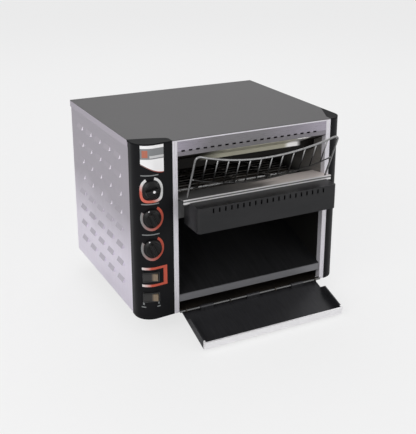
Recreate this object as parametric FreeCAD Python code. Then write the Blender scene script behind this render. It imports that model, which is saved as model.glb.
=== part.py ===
import FreeCAD, Part
import math
import os

V = FreeCAD.Vector

# Conveyor toaster in millimetres: X runs across the front, Y from the front to the back, Z up.
# While it is made, X is 0 at the middle of the case, Y is 0 at the front trim, Z is 0 on the table.

# Case
body_width = 410.0
body_depth = 350.0
body_height = 320.0
foot_height = 37.0
skin = 1.2
inner_skin = 1.0
seam = 0.15
overrun = 5.0
sheet_flange = 11.0
cover_flange = 13.0

# Front columns, caps and trims
left_column_width = 65.0
right_column_width = 29.0
column_depth = 35.5
column_wall = 2.0
column_radius = 29.0
column_bow_angle = 4.6
column_proud = 0.3
cap_thickness = 3.0
cap_lug_height = 6.0
cap_lug_width = 5.0
cap_lug_depth = 6.0
left_cap_back = 39.5
left_cap_middle = 32.3
left_cap_front = 22.5
left_cap_corner = 12.5
left_cap_corner_radius = 8.0
right_cap_back = 76.0
right_cap_middle = 44.0
right_cap_front = 13.0
trim_width = 9.3
trim_return = 12.0

# Header, its vents and the bottom rail
header_height = 27.5
header_return = 12.0
header_vent_length = 7.0
header_vent_height = 3.0
header_vent_left_room = 10.5
header_vent_right_room = 24.4
header_vent_count = 20
header_vent_drop = 20.5
pan_front_lip = 4.0
pan_vent_length = 34.0
pan_vent_width = 4.0
pan_vent_pitch = 16.0
pan_vent_count = 8

# Louvred side panels
louvre_length = 28.0
louvre_height = 8.0
louvre_stand = 3.6
louvre_wall = 1.0
louvre_front_room = 91.0
louvre_back_room = 57.0
louvre_low_room = 45.0
louvre_top_room = 40.5
louvre_columns = 5
louvre_rows = 8
panel_recess = 1.4

# Feet
foot_radius = 15.0
foot_waist_radius = 11.0
foot_lip = 3.0
foot_inset_x = 45.0
foot_inset_front = 85.0
foot_inset_back = 42.0

# Heating chamber and chute
chamber_room = 16.4
chute_front_top = 32.0
chute_lip_height = 12.0
chute_front_y = 3.0
slope_angle = 17.5
chute_bend_room = 47.0
chute_bend_steps = 6
chute_back_rise = 13.0
baffle_front_y = 3.0
baffle_back_y = 40.0
baffle_top_drop = 30.0
baffle_bend_drop = 48.0
baffle_bottom_drop = 66.0
reflector_drop = 45.0
reflector_flange = 9.0
lower_reflector_drop = 11.0
lower_reflector_front = 82.0

# Conveyor
belt_pitch = 12.7
belt_wire = 2.2
belt_side_room = 19.7
sprocket_teeth = 8
belt_end_room = 66.0
belt_front_y = 48.0
belt_shaft_share = 0.585
belt_tooth_reach = 1.9
belt_seat_clearance = 0.3
belt_nest_gap = 0.5
belt_sprocket_width = 6.0
belt_sprocket_count = 4
belt_hook_count = 2
belt_hook_half_width = 3.0
shaft_radius = 6.0
fit = 0.05
bearing_radius = 10.0
bearing_flange_radius = 15.0
bearing_flange = 4.0
bearing_seat = 0.1
shaft_end = 3.0
journal_radius = 5.0
end_play = 0.3
guide_count = 3
guide_spread_share = 0.295
guide_width = 3.0
guide_height = 8.0
guide_gap = 0.4
guide_rod_radius = 3.0
guide_front_y = 84.0
guide_back_room = 36.0
guide_overhang = 10.0

# Heaters
heater_radius = 4.0
heater_bend_radius = 14.0
heater_stem = 18.0
heater_end_gap = 12.0
upper_heater_drop = 63.0
upper_heater_front_share = 0.22
upper_heater_pitch_share = 0.486
lower_heater_rise = 1.0
lower_heater_front_share = 0.287
lower_heater_pitch_share = 0.417
heater_count = 2
heater_bend_steps = 5
insulator_neck_radius = 6.0
insulator_length = 6.0

# Drive
motor_forward = 24.0
motor_level = 78.0
gearbox_width = 42.0
gearbox_length = 52.0
gearbox_height = 62.0
gearbox_radius = 7.0
motor_radius = 22.0
motor_length = 82.0
motor_cap = 6.0
motor_drop = 10.0
motor_offset = 1.0
output_radius = 5.0
output_boss_radius = 12.0
output_boss = 3.0
bracket_wall = 2.0
chain_pitch = 9.525
chain_roller_radius = 2.5
chain_width = 4.6
chain_plate_height = 8.0
motor_teeth = 10
driven_teeth = 16
chain_sprocket_width = 3.6
chain_side_play = 0.5
hub_radius = 9.5
chain_line = 17.0

# Cooling fan
fan_size = 60.0
fan_depth = 15.0
fan_bore = 28.5
fan_corner = 4.0
fan_hub_radius = 13.0
fan_blade_reach = 27.3
fan_blade_count = 7
fan_blade_thickness = 1.6
fan_blade_angle = 38.0
fan_blade_depth = 9.0
fan_hub_depth = 12.5
fan_spider_depth = 3.0
fan_spider_width = 5.0
fan_motor_radius = 12.0
fan_pin_radius = 1.5
fan_x_inset = 36.0
fan_level = 130.0
fan_wall = 2.0

# Rear panel
rear_slot_length = 46.0
rear_slot_height = 4.0
rear_slot_pitch = 12.0
rear_slot_rows = 7
rear_slot_columns = 3
rear_slot_spread = 78.0
rear_slot_level = 66.0
rear_upper_slot_level = 226.0
rear_upper_slot_rows = 3
gland_radius = 10.0
gland_flange_radius = 14.0
gland_flange = 4.0
gland_bore = 5.0
gland_reach = 14.0
gland_x_inset = 36.0
gland_level = 45.0
terminal_width = 34.0
terminal_length = 22.0
terminal_height = 16.0
terminal_ways = 3
terminal_groove = 2.0
terminal_screw_share = 0.3
terminal_back_gap = 34.0

# Controls on the left column
knob_x = 24.0
speed_knob_share = 0.755
top_heat_knob_share = 0.597
bottom_heat_knob_share = 0.425
knob_skirt_radius = 16.0
knob_skirt_height = 3.0
knob_body_radius = 12.5
knob_top_radius = 11.5
knob_height = 13.0
knob_grip_width = 7.5
knob_face_height = 5.5
knob_edge = 1.2
knob_gap = 1.6
knob_bore_depth = 8.5
speed_knob_turn = 100.0
heat_knob_turn = 0.0
knob_start_turn = 25.0
control_shaft_radius = 3.0
control_bush_radius = 4.75
control_bush_reach = 1.2
control_stand = 3.8
control_body_radius = 13.0
control_body_depth = 12.0
control_tag_width = 16.0
control_tag_height = 7.0
control_tag_thickness = 1.5
rocker_x = 21.0
power_rocker_share = 0.256
feed_rocker_share = 0.136
rocker_width = 25.0
rocker_height = 13.0
rocker_rise_angle = 7.0
rocker_gap = 0.35
bezel_wall = 2.0
bezel_proud = 2.2
rocker_body_depth = 20.0
rocker_pin_radius = 1.5
rocker_pin_clearance = 0.1
rocker_sink = 3.2
badge_thickness = 0.8
badge_left = 9.0
badge_right = 48.0
badge_bottom_share = 0.85
badge_top_drop = 2.5

# Loader: black guard, polished shelf and wire rack
guard_inset = 11.2
guard_front_y = 56.0
guard_rise = 26.8
guard_fall = 18.2
guard_corner = 3.5
guard_slot_count = 20
guard_slot_margin = 28.0
guard_slot_width = 3.0
guard_slot_height = 8.0
guard_slot_drop = 3.0
bracket_fall = 7.2
bracket_depth = 24.0
shelf_front_y = 22.0
shelf_lip_low_rise = 24.8
shelf_lip_top_rise = 32.8
shelf_back_y = 38.0
shelf_back_rise = 23.8
shelf_play = 0.3
shelf_hem = 3.0
rack_inset = 9.0
rack_lean_angle = 23.1
rack_foot_y = 16.0
rack_leg_length = 90.0
rack_plug_length = 12.0
rack_wire = 5.0
rack_bar_wire = 3.5
rack_corner_radius = 7.0
rack_sag_angle = 20.5
rack_bar_drop = 50.0
rack_bar_count = 12
rack_socket_wall = 1.5
rack_play = 0.3
rack_corner_steps = 4

# Flat sides round the small pieces that repeat, and how straight an edge has to run to count as along an axis
wire_sides = 8
bar_sides = 6
small_sides = 12
round_sides = 16
along_share = 0.99

# Landing tray and the rod that it hangs on
tray_rod_radius = 2.0
tray_rod_front = 2.4
tray_ear = 2.0
tray_side_room = 6.7
tray_wall_height = 14.0
tray_lip_height = 14.5
tray_lip_wall = 2.4
tray_front_reach = 89.0
tray_drop = 6.4
tray_hook_play = 0.3
tray_hook_wall = 1.4
tray_hook_width = 26.0
tray_hook_count = 3
tray_hook_share = 0.338
tray_wall_start = 16.0
tray_wall_taper = 12.0
tray_rest_gap = 0.3
tray_hem = 2.6

left_x = -body_width / 2
right_x = body_width / 2
base_z = foot_height
top_z = foot_height + body_height
left_edge = left_x + left_column_width
right_edge = right_x - right_column_width
opening_left = left_edge + trim_width
opening_right = right_edge - trim_width
opening_mid = (opening_left + opening_right) / 2
left_inner = opening_left - skin - seam
right_inner = opening_right + skin + seam
left_outer = left_inner - inner_skin
right_outer = right_inner + inner_skin
side_in_left = left_x + panel_recess + skin + seam
side_in_right = right_x - panel_recess - skin - seam
rear_in = body_depth - panel_recess - skin
shaft_z = base_z + body_height * belt_shaft_share
louvre_pitch_y = (body_depth - louvre_front_room - louvre_back_room) / (louvre_columns - 1)
louvre_pitch_z = (body_height - louvre_low_room - louvre_top_room) / (louvre_rows - 1)
opening_width = opening_right - opening_left
chamber_back = rear_in - chamber_room
chute_bend_y = chamber_back - chute_bend_room
belt_width = opening_width - 2 * belt_side_room
belt_radius = belt_pitch / (2 * math.sin(math.pi / sprocket_teeth))
belt_run_links = int((chamber_back - belt_front_y - belt_end_room) / belt_pitch)
belt_run = belt_run_links * belt_pitch
belt_back_y = belt_front_y + belt_run
belt_sprocket_spread = belt_width / belt_sprocket_count
guide_spread = belt_width * guide_spread_share
guide_back_y = belt_back_y - guide_back_room
lower_reflector_back = guide_back_y
upper_heater_z = top_z - upper_heater_drop
lower_heater_z = shaft_z + lower_heater_rise
upper_heater_first_y = belt_front_y + belt_run * upper_heater_front_share
upper_heater_pitch = belt_run * upper_heater_pitch_share
lower_heater_first_y = belt_front_y + belt_run * lower_heater_front_share
lower_heater_pitch = belt_run * lower_heater_pitch_share
speed_knob_z = base_z + body_height * speed_knob_share
top_heat_knob_z = base_z + body_height * top_heat_knob_share
bottom_heat_knob_z = base_z + body_height * bottom_heat_knob_share
power_rocker_z = base_z + body_height * power_rocker_share
feed_rocker_z = base_z + body_height * feed_rocker_share
guard_top = shaft_z + guard_rise
guard_bottom = shaft_z - guard_fall
shelf_lip_bottom = shaft_z + shelf_lip_low_rise
shelf_lip_top = shaft_z + shelf_lip_top_rise
shelf_back_level = shaft_z + shelf_back_rise
motor_y = belt_back_y - motor_forward
header_vent_run = opening_width - header_vent_left_room - header_vent_right_room
header_vent_pitch = header_vent_run / (header_vent_count - 1)
guard_width = opening_width - 2 * guard_inset
guard_slot_pitch = (guard_width - 2 * guard_slot_margin) / (guard_slot_count - 1)
rack_half_width = opening_width / 2 - rack_inset
tray_width = opening_width - 2 * tray_side_room
tray_hook_spread = tray_width * tray_hook_share
slope = math.radians(slope_angle)


def block(x0, x1, y0, y1, z0, z1):
    return Part.makeBox(x1 - x0, y1 - y0, z1 - z0, V(x0, y0, z0))


def across(points, x0, x1):
    """A solid of one (y, z) outline that runs across the toaster from x0 to x1."""
    corners = [V(x0, y, z) for y, z in points]
    face = Part.Face(Part.makePolygon(corners + corners[:1]))
    return face.extrude(V(x1 - x0, 0, 0))


def flat_face(corners):
    return Part.Face(Part.makePolygon(corners + corners[:1]))


def closed(faces):
    """The solid inside a closed set of flat faces."""
    solid = Part.Solid(Part.Shell(faces))
    if solid.Volume < 0:
        solid.reverse()
    return solid


def ringed(rings, end_to_end):
    """A solid skinned from ring to ring with four-sided faces; its ends are closed, or joined end to end."""
    pairs = list(zip(rings, rings[1:]))
    faces = [] if end_to_end else [flat_face(rings[0]), flat_face(rings[-1])]
    if end_to_end:
        pairs.append((rings[-1], rings[0]))
    for near, far in pairs:
        for corner in range(len(near)):
            after = (corner + 1) % len(near)
            faces.append(flat_face([near[corner], near[after], far[after], far[corner]]))
    return closed(faces)


def faceted(profile, place, axis, sides):
    """A turned solid with flat sides, for what repeats: (radius, height) points, set at place along axis."""
    angles = [2 * math.pi * corner / sides for corner in range(sides)]
    rings = [[V(radius * math.cos(angle), radius * math.sin(angle), height) for angle in angles]
             for radius, height in profile if radius > 0]
    solid = ringed(rings, profile[0][0] > 0)
    solid.Placement = FreeCAD.Placement(place, FreeCAD.Rotation(V(0, 0, 1), axis))
    return solid


def bar(start, end, radius, sides):
    """A rod with flat sides whose corners lie on the radius."""
    axis = end - start
    return faceted([(0, 0), (radius, 0), (radius, axis.Length), (0, axis.Length)], start, axis, sides)


def bore(start, end, radius, sides):
    """What is cut to leave a flat-sided hole that clears the radius all round."""
    return bar(start, end, radius / math.cos(math.pi / sides), sides)


def bent_wire(points, radius, normal, sides):
    """A wire along points in one plane, mitred where it bends."""
    heads = [(after - before).normalize() for before, after in zip(points, points[1:])]
    rings = []
    for index, point in enumerate(points):
        before = heads[max(index - 1, 0)]
        after = heads[min(index, len(heads) - 1)]
        mitre = (before + after).normalize().cross(normal)
        stretch = 1 / mitre.dot(after.cross(normal))
        ring = []
        for corner in range(sides):
            angle = math.pi * (2 * corner + 1) / sides
            reach = mitre * (radius * stretch * math.cos(angle))
            ring.append(point + reach + normal * (radius * math.sin(angle)))
        rings.append(ring)
    return ringed(rings, False)


def folded(points, thickness):
    """The closed outline of a folded sheet: its path, and the path again one thickness to the left."""
    normals = []
    for (a0, b0), (a1, b1) in zip(points, points[1:]):
        length = math.hypot(a1 - a0, b1 - b0)
        normals.append((-(b1 - b0) / length, (a1 - a0) / length))
    inner = []
    for index, (a, b) in enumerate(points):
        before = normals[max(index - 1, 0)]
        after = normals[min(index, len(normals) - 1)]
        reach = thickness / (1 + before[0] * after[0] + before[1] * after[1])
        inner.append((a + reach * (before[0] + after[0]), b + reach * (before[1] + after[1])))
    return points + inner[::-1]


def joined(shapes):
    whole = shapes[0].multiFuse(shapes[1:]) if len(shapes) > 1 else shapes[0]
    return whole.removeSplitter()


def column_profile(side, inset):
    """Corner points and arc of a front column in plan; side is -1 for the left one, 1 for the right one."""
    width = left_column_width if side < 0 else right_column_width
    bow = math.radians(column_bow_angle) if side < 0 else 0
    run = (width - column_radius - column_radius * math.sin(bow)) / math.cos(bow)
    centre_y = column_radius * math.cos(bow) - run * math.sin(bow) - column_proud
    centre_x = side * (body_width / 2 - column_radius)
    radius = column_radius - inset

    def on_arc(angle):
        return V(centre_x + side * radius * math.cos(angle), centre_y - radius * math.sin(angle), 0)

    end_angle = math.pi / 2 + bow
    start = on_arc(0)
    middle = on_arc(end_angle / 2)
    end = on_arc(end_angle)
    edge = V(end.x - side * run * math.cos(bow), end.y + run * math.sin(bow), 0)
    return start, middle, end, edge


def column_fill(side, inset, edge_inset, back, z0, z1):
    """The column's whole plan, filled in, drawn in from its skin by inset and from the trim by edge_inset."""
    start, middle, end, edge = column_profile(side, inset)
    side_back = V(start.x, back, 0)
    inner_back = V(edge.x, back, 0)
    edges = [Part.LineSegment(side_back, start).toShape(), Part.Arc(start, middle, end).toShape()]
    if (edge - end).Length > seam:
        edges.append(Part.LineSegment(end, edge).toShape())
    else:
        inner_back.x = end.x
        edge = end
    edges.append(Part.LineSegment(edge, inner_back).toShape())
    edges.append(Part.LineSegment(inner_back, side_back).toShape())
    face = Part.Face(Part.Wire(edges))
    solid = face.extrude(V(0, 0, z1 - z0))
    solid.translate(V(0, 0, z0))
    kept_x = (left_edge if side < 0 else right_edge) + side * edge_inset
    far_x = side * body_width
    return solid.common(block(min(kept_x, far_x), max(kept_x, far_x), -body_depth, body_depth, z0, z1))


def column_surface(x_from_side):
    """Where the left column's skin lies at a distance from its outer side, and the way it faces."""
    start, middle, end, edge = column_profile(-1, 0)
    lean = math.asin((column_radius - x_from_side) / column_radius)
    place_y = start.y - column_radius * math.cos(lean)
    return V(left_x + x_from_side, place_y, 0), V(-math.sin(lean), -math.cos(lean), 0)


def control_columns():
    parts = {}
    for side, name in ((-1, "control_column"), (1, "right_column")):
        z1 = top_z - cap_thickness
        outside = column_fill(side, 0, 0, column_depth, base_z, z1)
        hollow = column_fill(side, column_wall, column_wall, column_depth + overrun,
                             base_z - overrun, z1 + overrun)
        parts[name] = outside.cut(hollow)
    column = parts["control_column"]
    for level in (speed_knob_z, top_heat_knob_z, bottom_heat_knob_z):
        place, facing = column_surface(knob_x)
        place.z = level
        column = column.cut(bore(place + facing * overrun, place - facing * overrun,
                                 control_bush_radius + bearing_seat, wire_sides))
    for level in (power_rocker_z, feed_rocker_z):
        opening = rocker_block(level, rocker_width / 2 + bezel_wall + seam,
                               rocker_height / 2 + bezel_wall + seam, -rocker_body_depth, overrun)
        column = column.cut(opening)
    parts["control_column"] = column
    return parts


def cap_outline(side):
    """The closing plate on a column, up to the curved edge that the top cover leaves free."""
    start, middle, end, edge = column_profile(side, 0)
    corner_x = side * body_width / 2
    edge_x = left_edge if side < 0 else right_edge
    if side < 0:
        back = V(corner_x, left_cap_back, 0)
        sweep = V((corner_x + edge_x - left_cap_corner_radius) / 2, left_cap_middle, 0)
        inner = V(edge_x - left_cap_corner_radius, left_cap_front, 0)
        turn_share = 0.3
        turn = V(edge_x - left_cap_corner_radius * turn_share,
                 left_cap_front - (left_cap_front - left_cap_corner) * turn_share, 0)
        foot = V(edge_x, left_cap_corner, 0)
        front = V(edge_x, edge.y, 0)
        edges = [Part.LineSegment(back, start).toShape(), Part.Arc(start, middle, end).toShape(),
                 Part.LineSegment(end, front).toShape(), Part.LineSegment(front, foot).toShape(),
                 Part.Arc(foot, turn, inner).toShape(), Part.Arc(inner, sweep, back).toShape()]
    else:
        back = V(corner_x, right_cap_back, 0)
        sweep = V((corner_x + edge_x) / 2, right_cap_middle, 0)
        inner = V(edge_x, right_cap_front, 0)
        edges = [Part.LineSegment(back, start).toShape(), Part.Arc(start, middle, end).toShape(),
                 Part.LineSegment(end, inner).toShape(), Part.Arc(inner, sweep, back).toShape()]
    return Part.Face(Part.Wire(edges))


def column_caps():
    parts = {}
    for side, name in ((-1, "left_column_cap"), (1, "right_column_cap")):
        plate = cap_outline(side).extrude(V(0, 0, cap_thickness))
        plate.translate(V(0, 0, top_z - cap_thickness))
        near = side * (body_width / 2 - column_wall - seam)
        low, high = sorted((near, near - side * cap_lug_width))
        lug = block(low, high, column_depth - cap_lug_depth, column_depth - seam,
                    top_z - cap_thickness - cap_lug_height, top_z - cap_thickness)
        parts[name] = joined([plate, lug])
    return parts


def trims():
    parts = {}
    for name, edge, opening in (("left_trim", left_edge, opening_left),
                                ("right_trim", right_edge, opening_right)):
        low, high = min(edge, opening) + seam, max(edge, opening) - seam
        face = block(low, high, 0, skin, base_z, top_z - skin - seam)
        lip_x = high - skin if edge < opening else low
        lip = block(lip_x, lip_x + skin, 0, trim_return, base_z, top_z - skin - seam)
        foot_x = low if edge < opening else high - skin
        foot = block(foot_x, foot_x + skin, 0, trim_return, base_z, top_z - skin - seam)
        parts[name] = joined([face, lip, foot])
    return parts


def front_header():
    bottom = top_z - skin - seam - header_height
    top = top_z - skin - seam
    path = [(header_return, top), (0, top), (0, bottom), (header_return, bottom)]
    x0, x1 = opening_left + seam, opening_right - seam
    strip = across(folded(path, skin), x0, x1)
    level = top_z - header_vent_drop
    vents = []
    for index in range(header_vent_count):
        x = opening_left + header_vent_left_room + index * header_vent_pitch
        vents.append(block(x - header_vent_length / 2, x + header_vent_length / 2, -overrun, overrun,
                           level - header_vent_height / 2, level + header_vent_height / 2))
    return strip.cut(Part.makeCompound(vents))


def side_panels():
    """Flat panels with pressed louvres: each louvre is lanced along its foot and stands out like an awning."""
    parts = {}
    for side, name in ((-1, "left_side_panel"), (1, "right_side_panel")):
        face_x = side * (body_width / 2 - panel_recess)
        back_x = face_x - side * skin
        y0, y1 = column_depth + seam, rear_in - seam
        z0, z1 = base_z, top_z - skin - seam
        sheet = block(min(face_x, back_x), max(face_x, back_x), y0, y1, z0, z1)
        inner_x = back_x - side * sheet_flange
        near_x, far_x = sorted((inner_x, face_x))
        front_return = block(near_x, far_x, y0, y0 + skin, z0 + skin + seam, z1)
        cap_back = left_cap_back if side < 0 else right_cap_back
        cap_room = block(-body_width, body_width, 0, cap_back + seam, top_z - cap_thickness - seam, top_z)
        hoods, slots = [], []
        for column in range(louvre_columns):
            y = louvre_front_room + column * louvre_pitch_y
            for row in range(louvre_rows):
                z = base_z + louvre_low_room + row * louvre_pitch_z
                hoods.append(louvre(side, face_x, back_x, y, z))
                slots.append(block(min(face_x, back_x) - overrun, max(face_x, back_x) + overrun,
                                   y - louvre_length / 2, y + louvre_length / 2,
                                   z - louvre_height / 2, z + louvre_height / 2 - louvre_wall))
        panel = joined([sheet, front_return]).cut(cap_room).cut(Part.makeCompound(slots))
        parts[name] = joined([panel] + hoods)
    return parts


def louvre(side, face_x, back_x, y, z):
    """One awning: a sloping plate with two cheeks, open at its foot."""
    top, foot = z + louvre_height / 2, z - louvre_height / 2
    shell = [(back_x, top), (face_x, top), (face_x + side * louvre_stand, foot), (back_x, foot)]
    reach = louvre_wall * math.hypot(louvre_stand, louvre_height) / louvre_height
    hollow_stand = louvre_stand - reach
    inside = [(back_x - side * overrun, top - louvre_wall), (face_x, top - louvre_wall),
              (face_x + side * hollow_stand, foot - seam), (back_x - side * overrun, foot - seam)]
    solids = []
    for outline, half in ((shell, louvre_length / 2), (inside, louvre_length / 2 - louvre_wall)):
        corners = [V(x, y - half, level) for x, level in outline]
        face = Part.Face(Part.makePolygon(corners + corners[:1]))
        solids.append(face.extrude(V(0, 2 * half, 0)))
    return solids[0].cut(solids[1])


def top_cover():
    plate = block(left_x, right_x, 0, body_depth, top_z - skin, top_z)
    for side in (-1, 1):
        cap = cap_outline(side)
        room = cap.makeOffset2D(seam).extrude(V(0, 0, skin + 2 * overrun))
        room.translate(V(0, 0, top_z - skin - overrun))
        plate = plate.cut(room)
    # The offcuts outside the columns' round corners fall away
    plate = max(plate.Solids, key=lambda solid: solid.Volume)
    flanges = []
    for side, back in ((-1, left_cap_back), (1, right_cap_back)):
        outer = side * body_width / 2
        inner = outer - side * skin
        flanges.append(block(min(outer, inner), max(outer, inner), back + seam, body_depth,
                             top_z - cover_flange, top_z - skin))
    flanges.append(block(left_x, right_x, body_depth - skin, body_depth, top_z - cover_flange, top_z - skin))
    return joined([plate] + flanges)


def rear_panel():
    """Back of the case, with vent slots behind the chamber and a grille behind the fan."""
    x0, x1 = left_x + panel_recess, right_x - panel_recess
    y0, y1 = rear_in, rear_in + skin
    top = top_z - skin - seam
    flange_z = base_z + sheet_flange + seam
    flanges = [block(x, x + skin, y0 - sheet_flange, y0, flange_z, top)
               for x in (side_in_left, side_in_right - skin)]
    panel = joined([block(x0, x1, y0, y1, base_z, top)] + flanges)
    slots = []
    for column in range(rear_slot_columns):
        x = opening_mid + (column - (rear_slot_columns - 1) / 2) * rear_slot_spread
        for level, rows in ((rear_slot_level, rear_slot_rows),
                            (rear_upper_slot_level, rear_upper_slot_rows)):
            for row in range(rows):
                z = base_z + level + row * rear_slot_pitch
                slots.append(block(x - rear_slot_length / 2, x + rear_slot_length / 2, y0 - overrun, y1 + overrun,
                                   z - rear_slot_height / 2, z + rear_slot_height / 2))
    fan_x = left_x + fan_x_inset
    fan_z = base_z + fan_level
    fan_slots = int(2 * fan_bore / rear_slot_pitch)
    for slot in range(fan_slots):
        rise = (slot - (fan_slots - 1) / 2) * rear_slot_pitch
        half = math.sqrt(fan_bore ** 2 - rise ** 2) - rear_slot_height / 2
        slots.append(block(fan_x - half, fan_x + half, y0 - overrun, y1 + overrun,
                           fan_z + rise - rear_slot_height / 2, fan_z + rise + rear_slot_height / 2))
    gland = V(left_x + gland_x_inset, y0 - overrun, base_z + gland_level)
    gland_end = gland + V(0, skin + 2 * overrun, 0)
    slots.append(bore(gland, gland_end, gland_radius + bearing_seat, small_sides))
    return panel.cut(Part.makeCompound(slots))


def base_pan():
    """Floor sheet with turned-up edges, cut back behind the columns, with a front lip and the tray rod's ears."""
    x0, x1 = side_in_left, side_in_right
    y0, y1 = chute_front_y - skin, rear_in - seam
    floor = block(x0, x1, y0, y1, base_z, base_z + skin)
    for side in (-1, 1):
        edge = left_edge if side < 0 else right_edge
        low, high = min(edge, side * body_width), max(edge, side * body_width)
        floor = floor.cut(block(low - seam, high + seam, -overrun, column_depth + seam,
                                base_z - overrun, base_z + skin + overrun))
        gap_low, gap_high = sorted((edge, edge - side * (trim_width + seam)))
        trim_room = block(gap_low - column_wall, gap_high + seam, -overrun, trim_return + seam,
                          base_z - overrun, base_z + skin + overrun)
        floor = floor.cut(trim_room)
    walls = []
    clear = column_depth + seam + skin + seam
    for x in (x0, x1 - skin):
        walls.append(block(x, x + skin, clear, y1 - skin, base_z, base_z + sheet_flange))
    walls.append(block(x0, x1, y1 - skin, y1, base_z, base_z + sheet_flange))
    lip_x0, lip_x1 = opening_left + seam, opening_right - seam
    walls.append(block(lip_x0, lip_x1, y0, y0 + skin, base_z, base_z + pan_front_lip))
    ears = []
    rod_y, rod_z = tray_rod_place()
    for x in tray_ear_places():
        high = rod_z + 2 * tray_rod_radius
        nose_y = rod_y - 2 * tray_rod_radius
        outline = [(nose_y, base_z), (nose_y, rod_z), (nose_y + tray_rod_radius, high), (rod_y, high),
                   (y0 + skin, high - tray_rod_radius), (y0 + skin, base_z)]
        ears.append(across(outline, x, x + tray_ear))
    pan = joined([floor] + walls + ears)
    hole = bore(V(left_x, rod_y, rod_z), V(right_x, rod_y, rod_z), tray_rod_radius + bearing_seat, wire_sides)
    vents = []
    for row in range(pan_vent_count):
        y = foot_inset_front + (row + 1) * pan_vent_pitch
        for x in (opening_mid - pan_vent_length * 2, opening_mid + pan_vent_length * 2):
            vents.append(block(x - pan_vent_length / 2, x + pan_vent_length / 2, y, y + pan_vent_width,
                               base_z - overrun, base_z + overrun))
    return pan.cut(hole).cut(Part.makeCompound(vents))


def tray_rod_place():
    return -tray_rod_front, base_z + tray_rod_radius


def tray_ear_places():
    """Left sides of the four ears: one at each end of the rod and one each side of the middle hook."""
    half = opening_width / 2 - trim_return
    inner = tray_hook_spread / 2
    return [opening_mid + place - tray_ear / 2 for place in (-half, -inner, inner, half)]


def tray_rod():
    y, z = tray_rod_place()
    x0, x1 = opening_left + seam, opening_right - seam
    return bar(V(x0, y, z), V(x1, y, z), tray_rod_radius, small_sides)


def feet():
    solids = []
    for x in (left_x + foot_inset_x, right_x - foot_inset_x):
        for y in (foot_inset_front, body_depth - foot_inset_back):
            profile = [(0, 0), (foot_radius, 0), (foot_radius, foot_lip), (foot_waist_radius, foot_height / 2),
                       (foot_radius, foot_height), (0, foot_height)]
            solids.append(faceted(profile, V(x, y, 0), V(0, 0, 1), small_sides))
    return Part.makeCompound(solids)


def inner_walls():
    """Sides of the heating chamber: flanges turned outwards, and holes for the shafts and heaters."""
    parts = {}
    for side, name in ((-1, "left_inner_wall"), (1, "right_inner_wall")):
        face, back = (left_inner, left_outer) if side < 0 else (right_inner, right_outer)
        z0, z1 = base_z + skin + seam, top_z - skin - seam
        y0 = trim_return + seam
        wall = block(min(face, back), max(face, back), y0, chamber_back, z0, z1)
        outer = back + side * sheet_flange
        low, high = min(face, outer), max(face, outer)
        clear = column_depth + seam
        flanges = [block(low, high, clear, chamber_back, z0, z0 + inner_skin),
                   block(low, high, max(clear, right_cap_back + seam), chamber_back, z1 - inner_skin, z1),
                   block(low, high, chamber_back - inner_skin, chamber_back, z0, z1)]
        holes = []
        for y in (belt_front_y, belt_back_y):
            holes.append(bore(V(face - overrun, y, shaft_z), V(face + overrun, y, shaft_z),
                              bearing_radius + bearing_seat, small_sides))
        if side < 0:
            for y, z in heater_leg_places():
                holes.append(bore(V(face - overrun, y, z), V(face + overrun, y, z),
                                  insulator_neck_radius + bearing_seat, wire_sides))
        for y in (guide_front_y, guide_back_y):
            z = guide_rod_level()
            holes.append(bore(V(face - overrun, y, z), V(face + overrun, y, z),
                              guide_rod_radius + bearing_seat, wire_sides))
        parts[name] = joined([wall] + flanges).cut(Part.makeCompound(holes))
    return parts


def chute_path():
    """The chute in (y, z), from the foot of its front lip up the slope and round to the chamber's back."""
    path = [(chute_front_y, base_z + chute_front_top - chute_lip_height),
            (chute_front_y, base_z + chute_front_top)]
    bend_z = base_z + chute_front_top + (chute_bend_y - chute_front_y) * math.tan(slope)
    radius = (chamber_back - inner_skin - seam - chute_bend_y) / (1 - math.sin(slope))
    centre_y = chute_bend_y - radius * math.sin(slope)
    centre_z = bend_z + radius * math.cos(slope)
    for step in range(chute_bend_steps + 1):
        angle = slope + (math.pi / 2 - slope) * step / chute_bend_steps
        path.append((centre_y + radius * math.sin(angle), centre_z - radius * math.cos(angle)))
    path.append((path[-1][0], centre_z + chute_back_rise))
    return path


def clear_of_trims(shape):
    """Narrow a lining to the opening where the trims' returns stand."""
    depth = trim_return + seam
    for x0, x1 in ((-body_width, opening_left + seam), (opening_right - seam, body_width)):
        shape = shape.cut(block(x0, x1, -depth, depth, 0, top_z))
    return shape


def discharge_chute():
    outline = folded(chute_path(), inner_skin)
    return clear_of_trims(across(outline, left_inner + seam, right_inner - seam))


def chamber_linings():
    x0, x1 = left_inner + seam, right_inner - seam
    path = [(baffle_front_y, top_z - baffle_top_drop), (baffle_back_y, top_z - baffle_bend_drop),
            (baffle_back_y, top_z - baffle_bottom_drop)]
    baffle = clear_of_trims(across(folded(path[::-1], inner_skin), x0, x1))
    z = top_z - reflector_drop
    y0, y1 = baffle_back_y + seam, chamber_back - inner_skin - seam
    plate = block(x0, x1, y0, y1, z, z + inner_skin)
    edges = [block(x, x + inner_skin, y0, y1, z, z + reflector_flange) for x in (x0, x1 - inner_skin)]
    upper = joined([plate] + edges)
    low_z = shaft_z - lower_reflector_drop
    rise = reflector_flange / 2
    path = [(lower_reflector_front, low_z + rise), (lower_reflector_front + rise, low_z),
            (lower_reflector_back - rise, low_z), (lower_reflector_back, low_z + rise)]
    lower = across(folded(path, inner_skin), x0, x1)
    back = block(left_inner + seam, right_inner - seam, chamber_back - inner_skin, chamber_back,
                 base_z + skin + seam, top_z - skin - seam)
    return {"front_baffle": baffle, "upper_reflector": upper, "lower_reflector": lower, "rear_baffle": back}


def heater_leg_places():
    places = []
    for first, pitch, z in ((upper_heater_first_y, upper_heater_pitch, upper_heater_z),
                            (lower_heater_first_y, lower_heater_pitch, lower_heater_z)):
        for index in range(heater_count):
            y = first + index * pitch
            for turn in (-1, 1):
                places.append((y + turn * heater_bend_radius, z))
    return places


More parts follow.
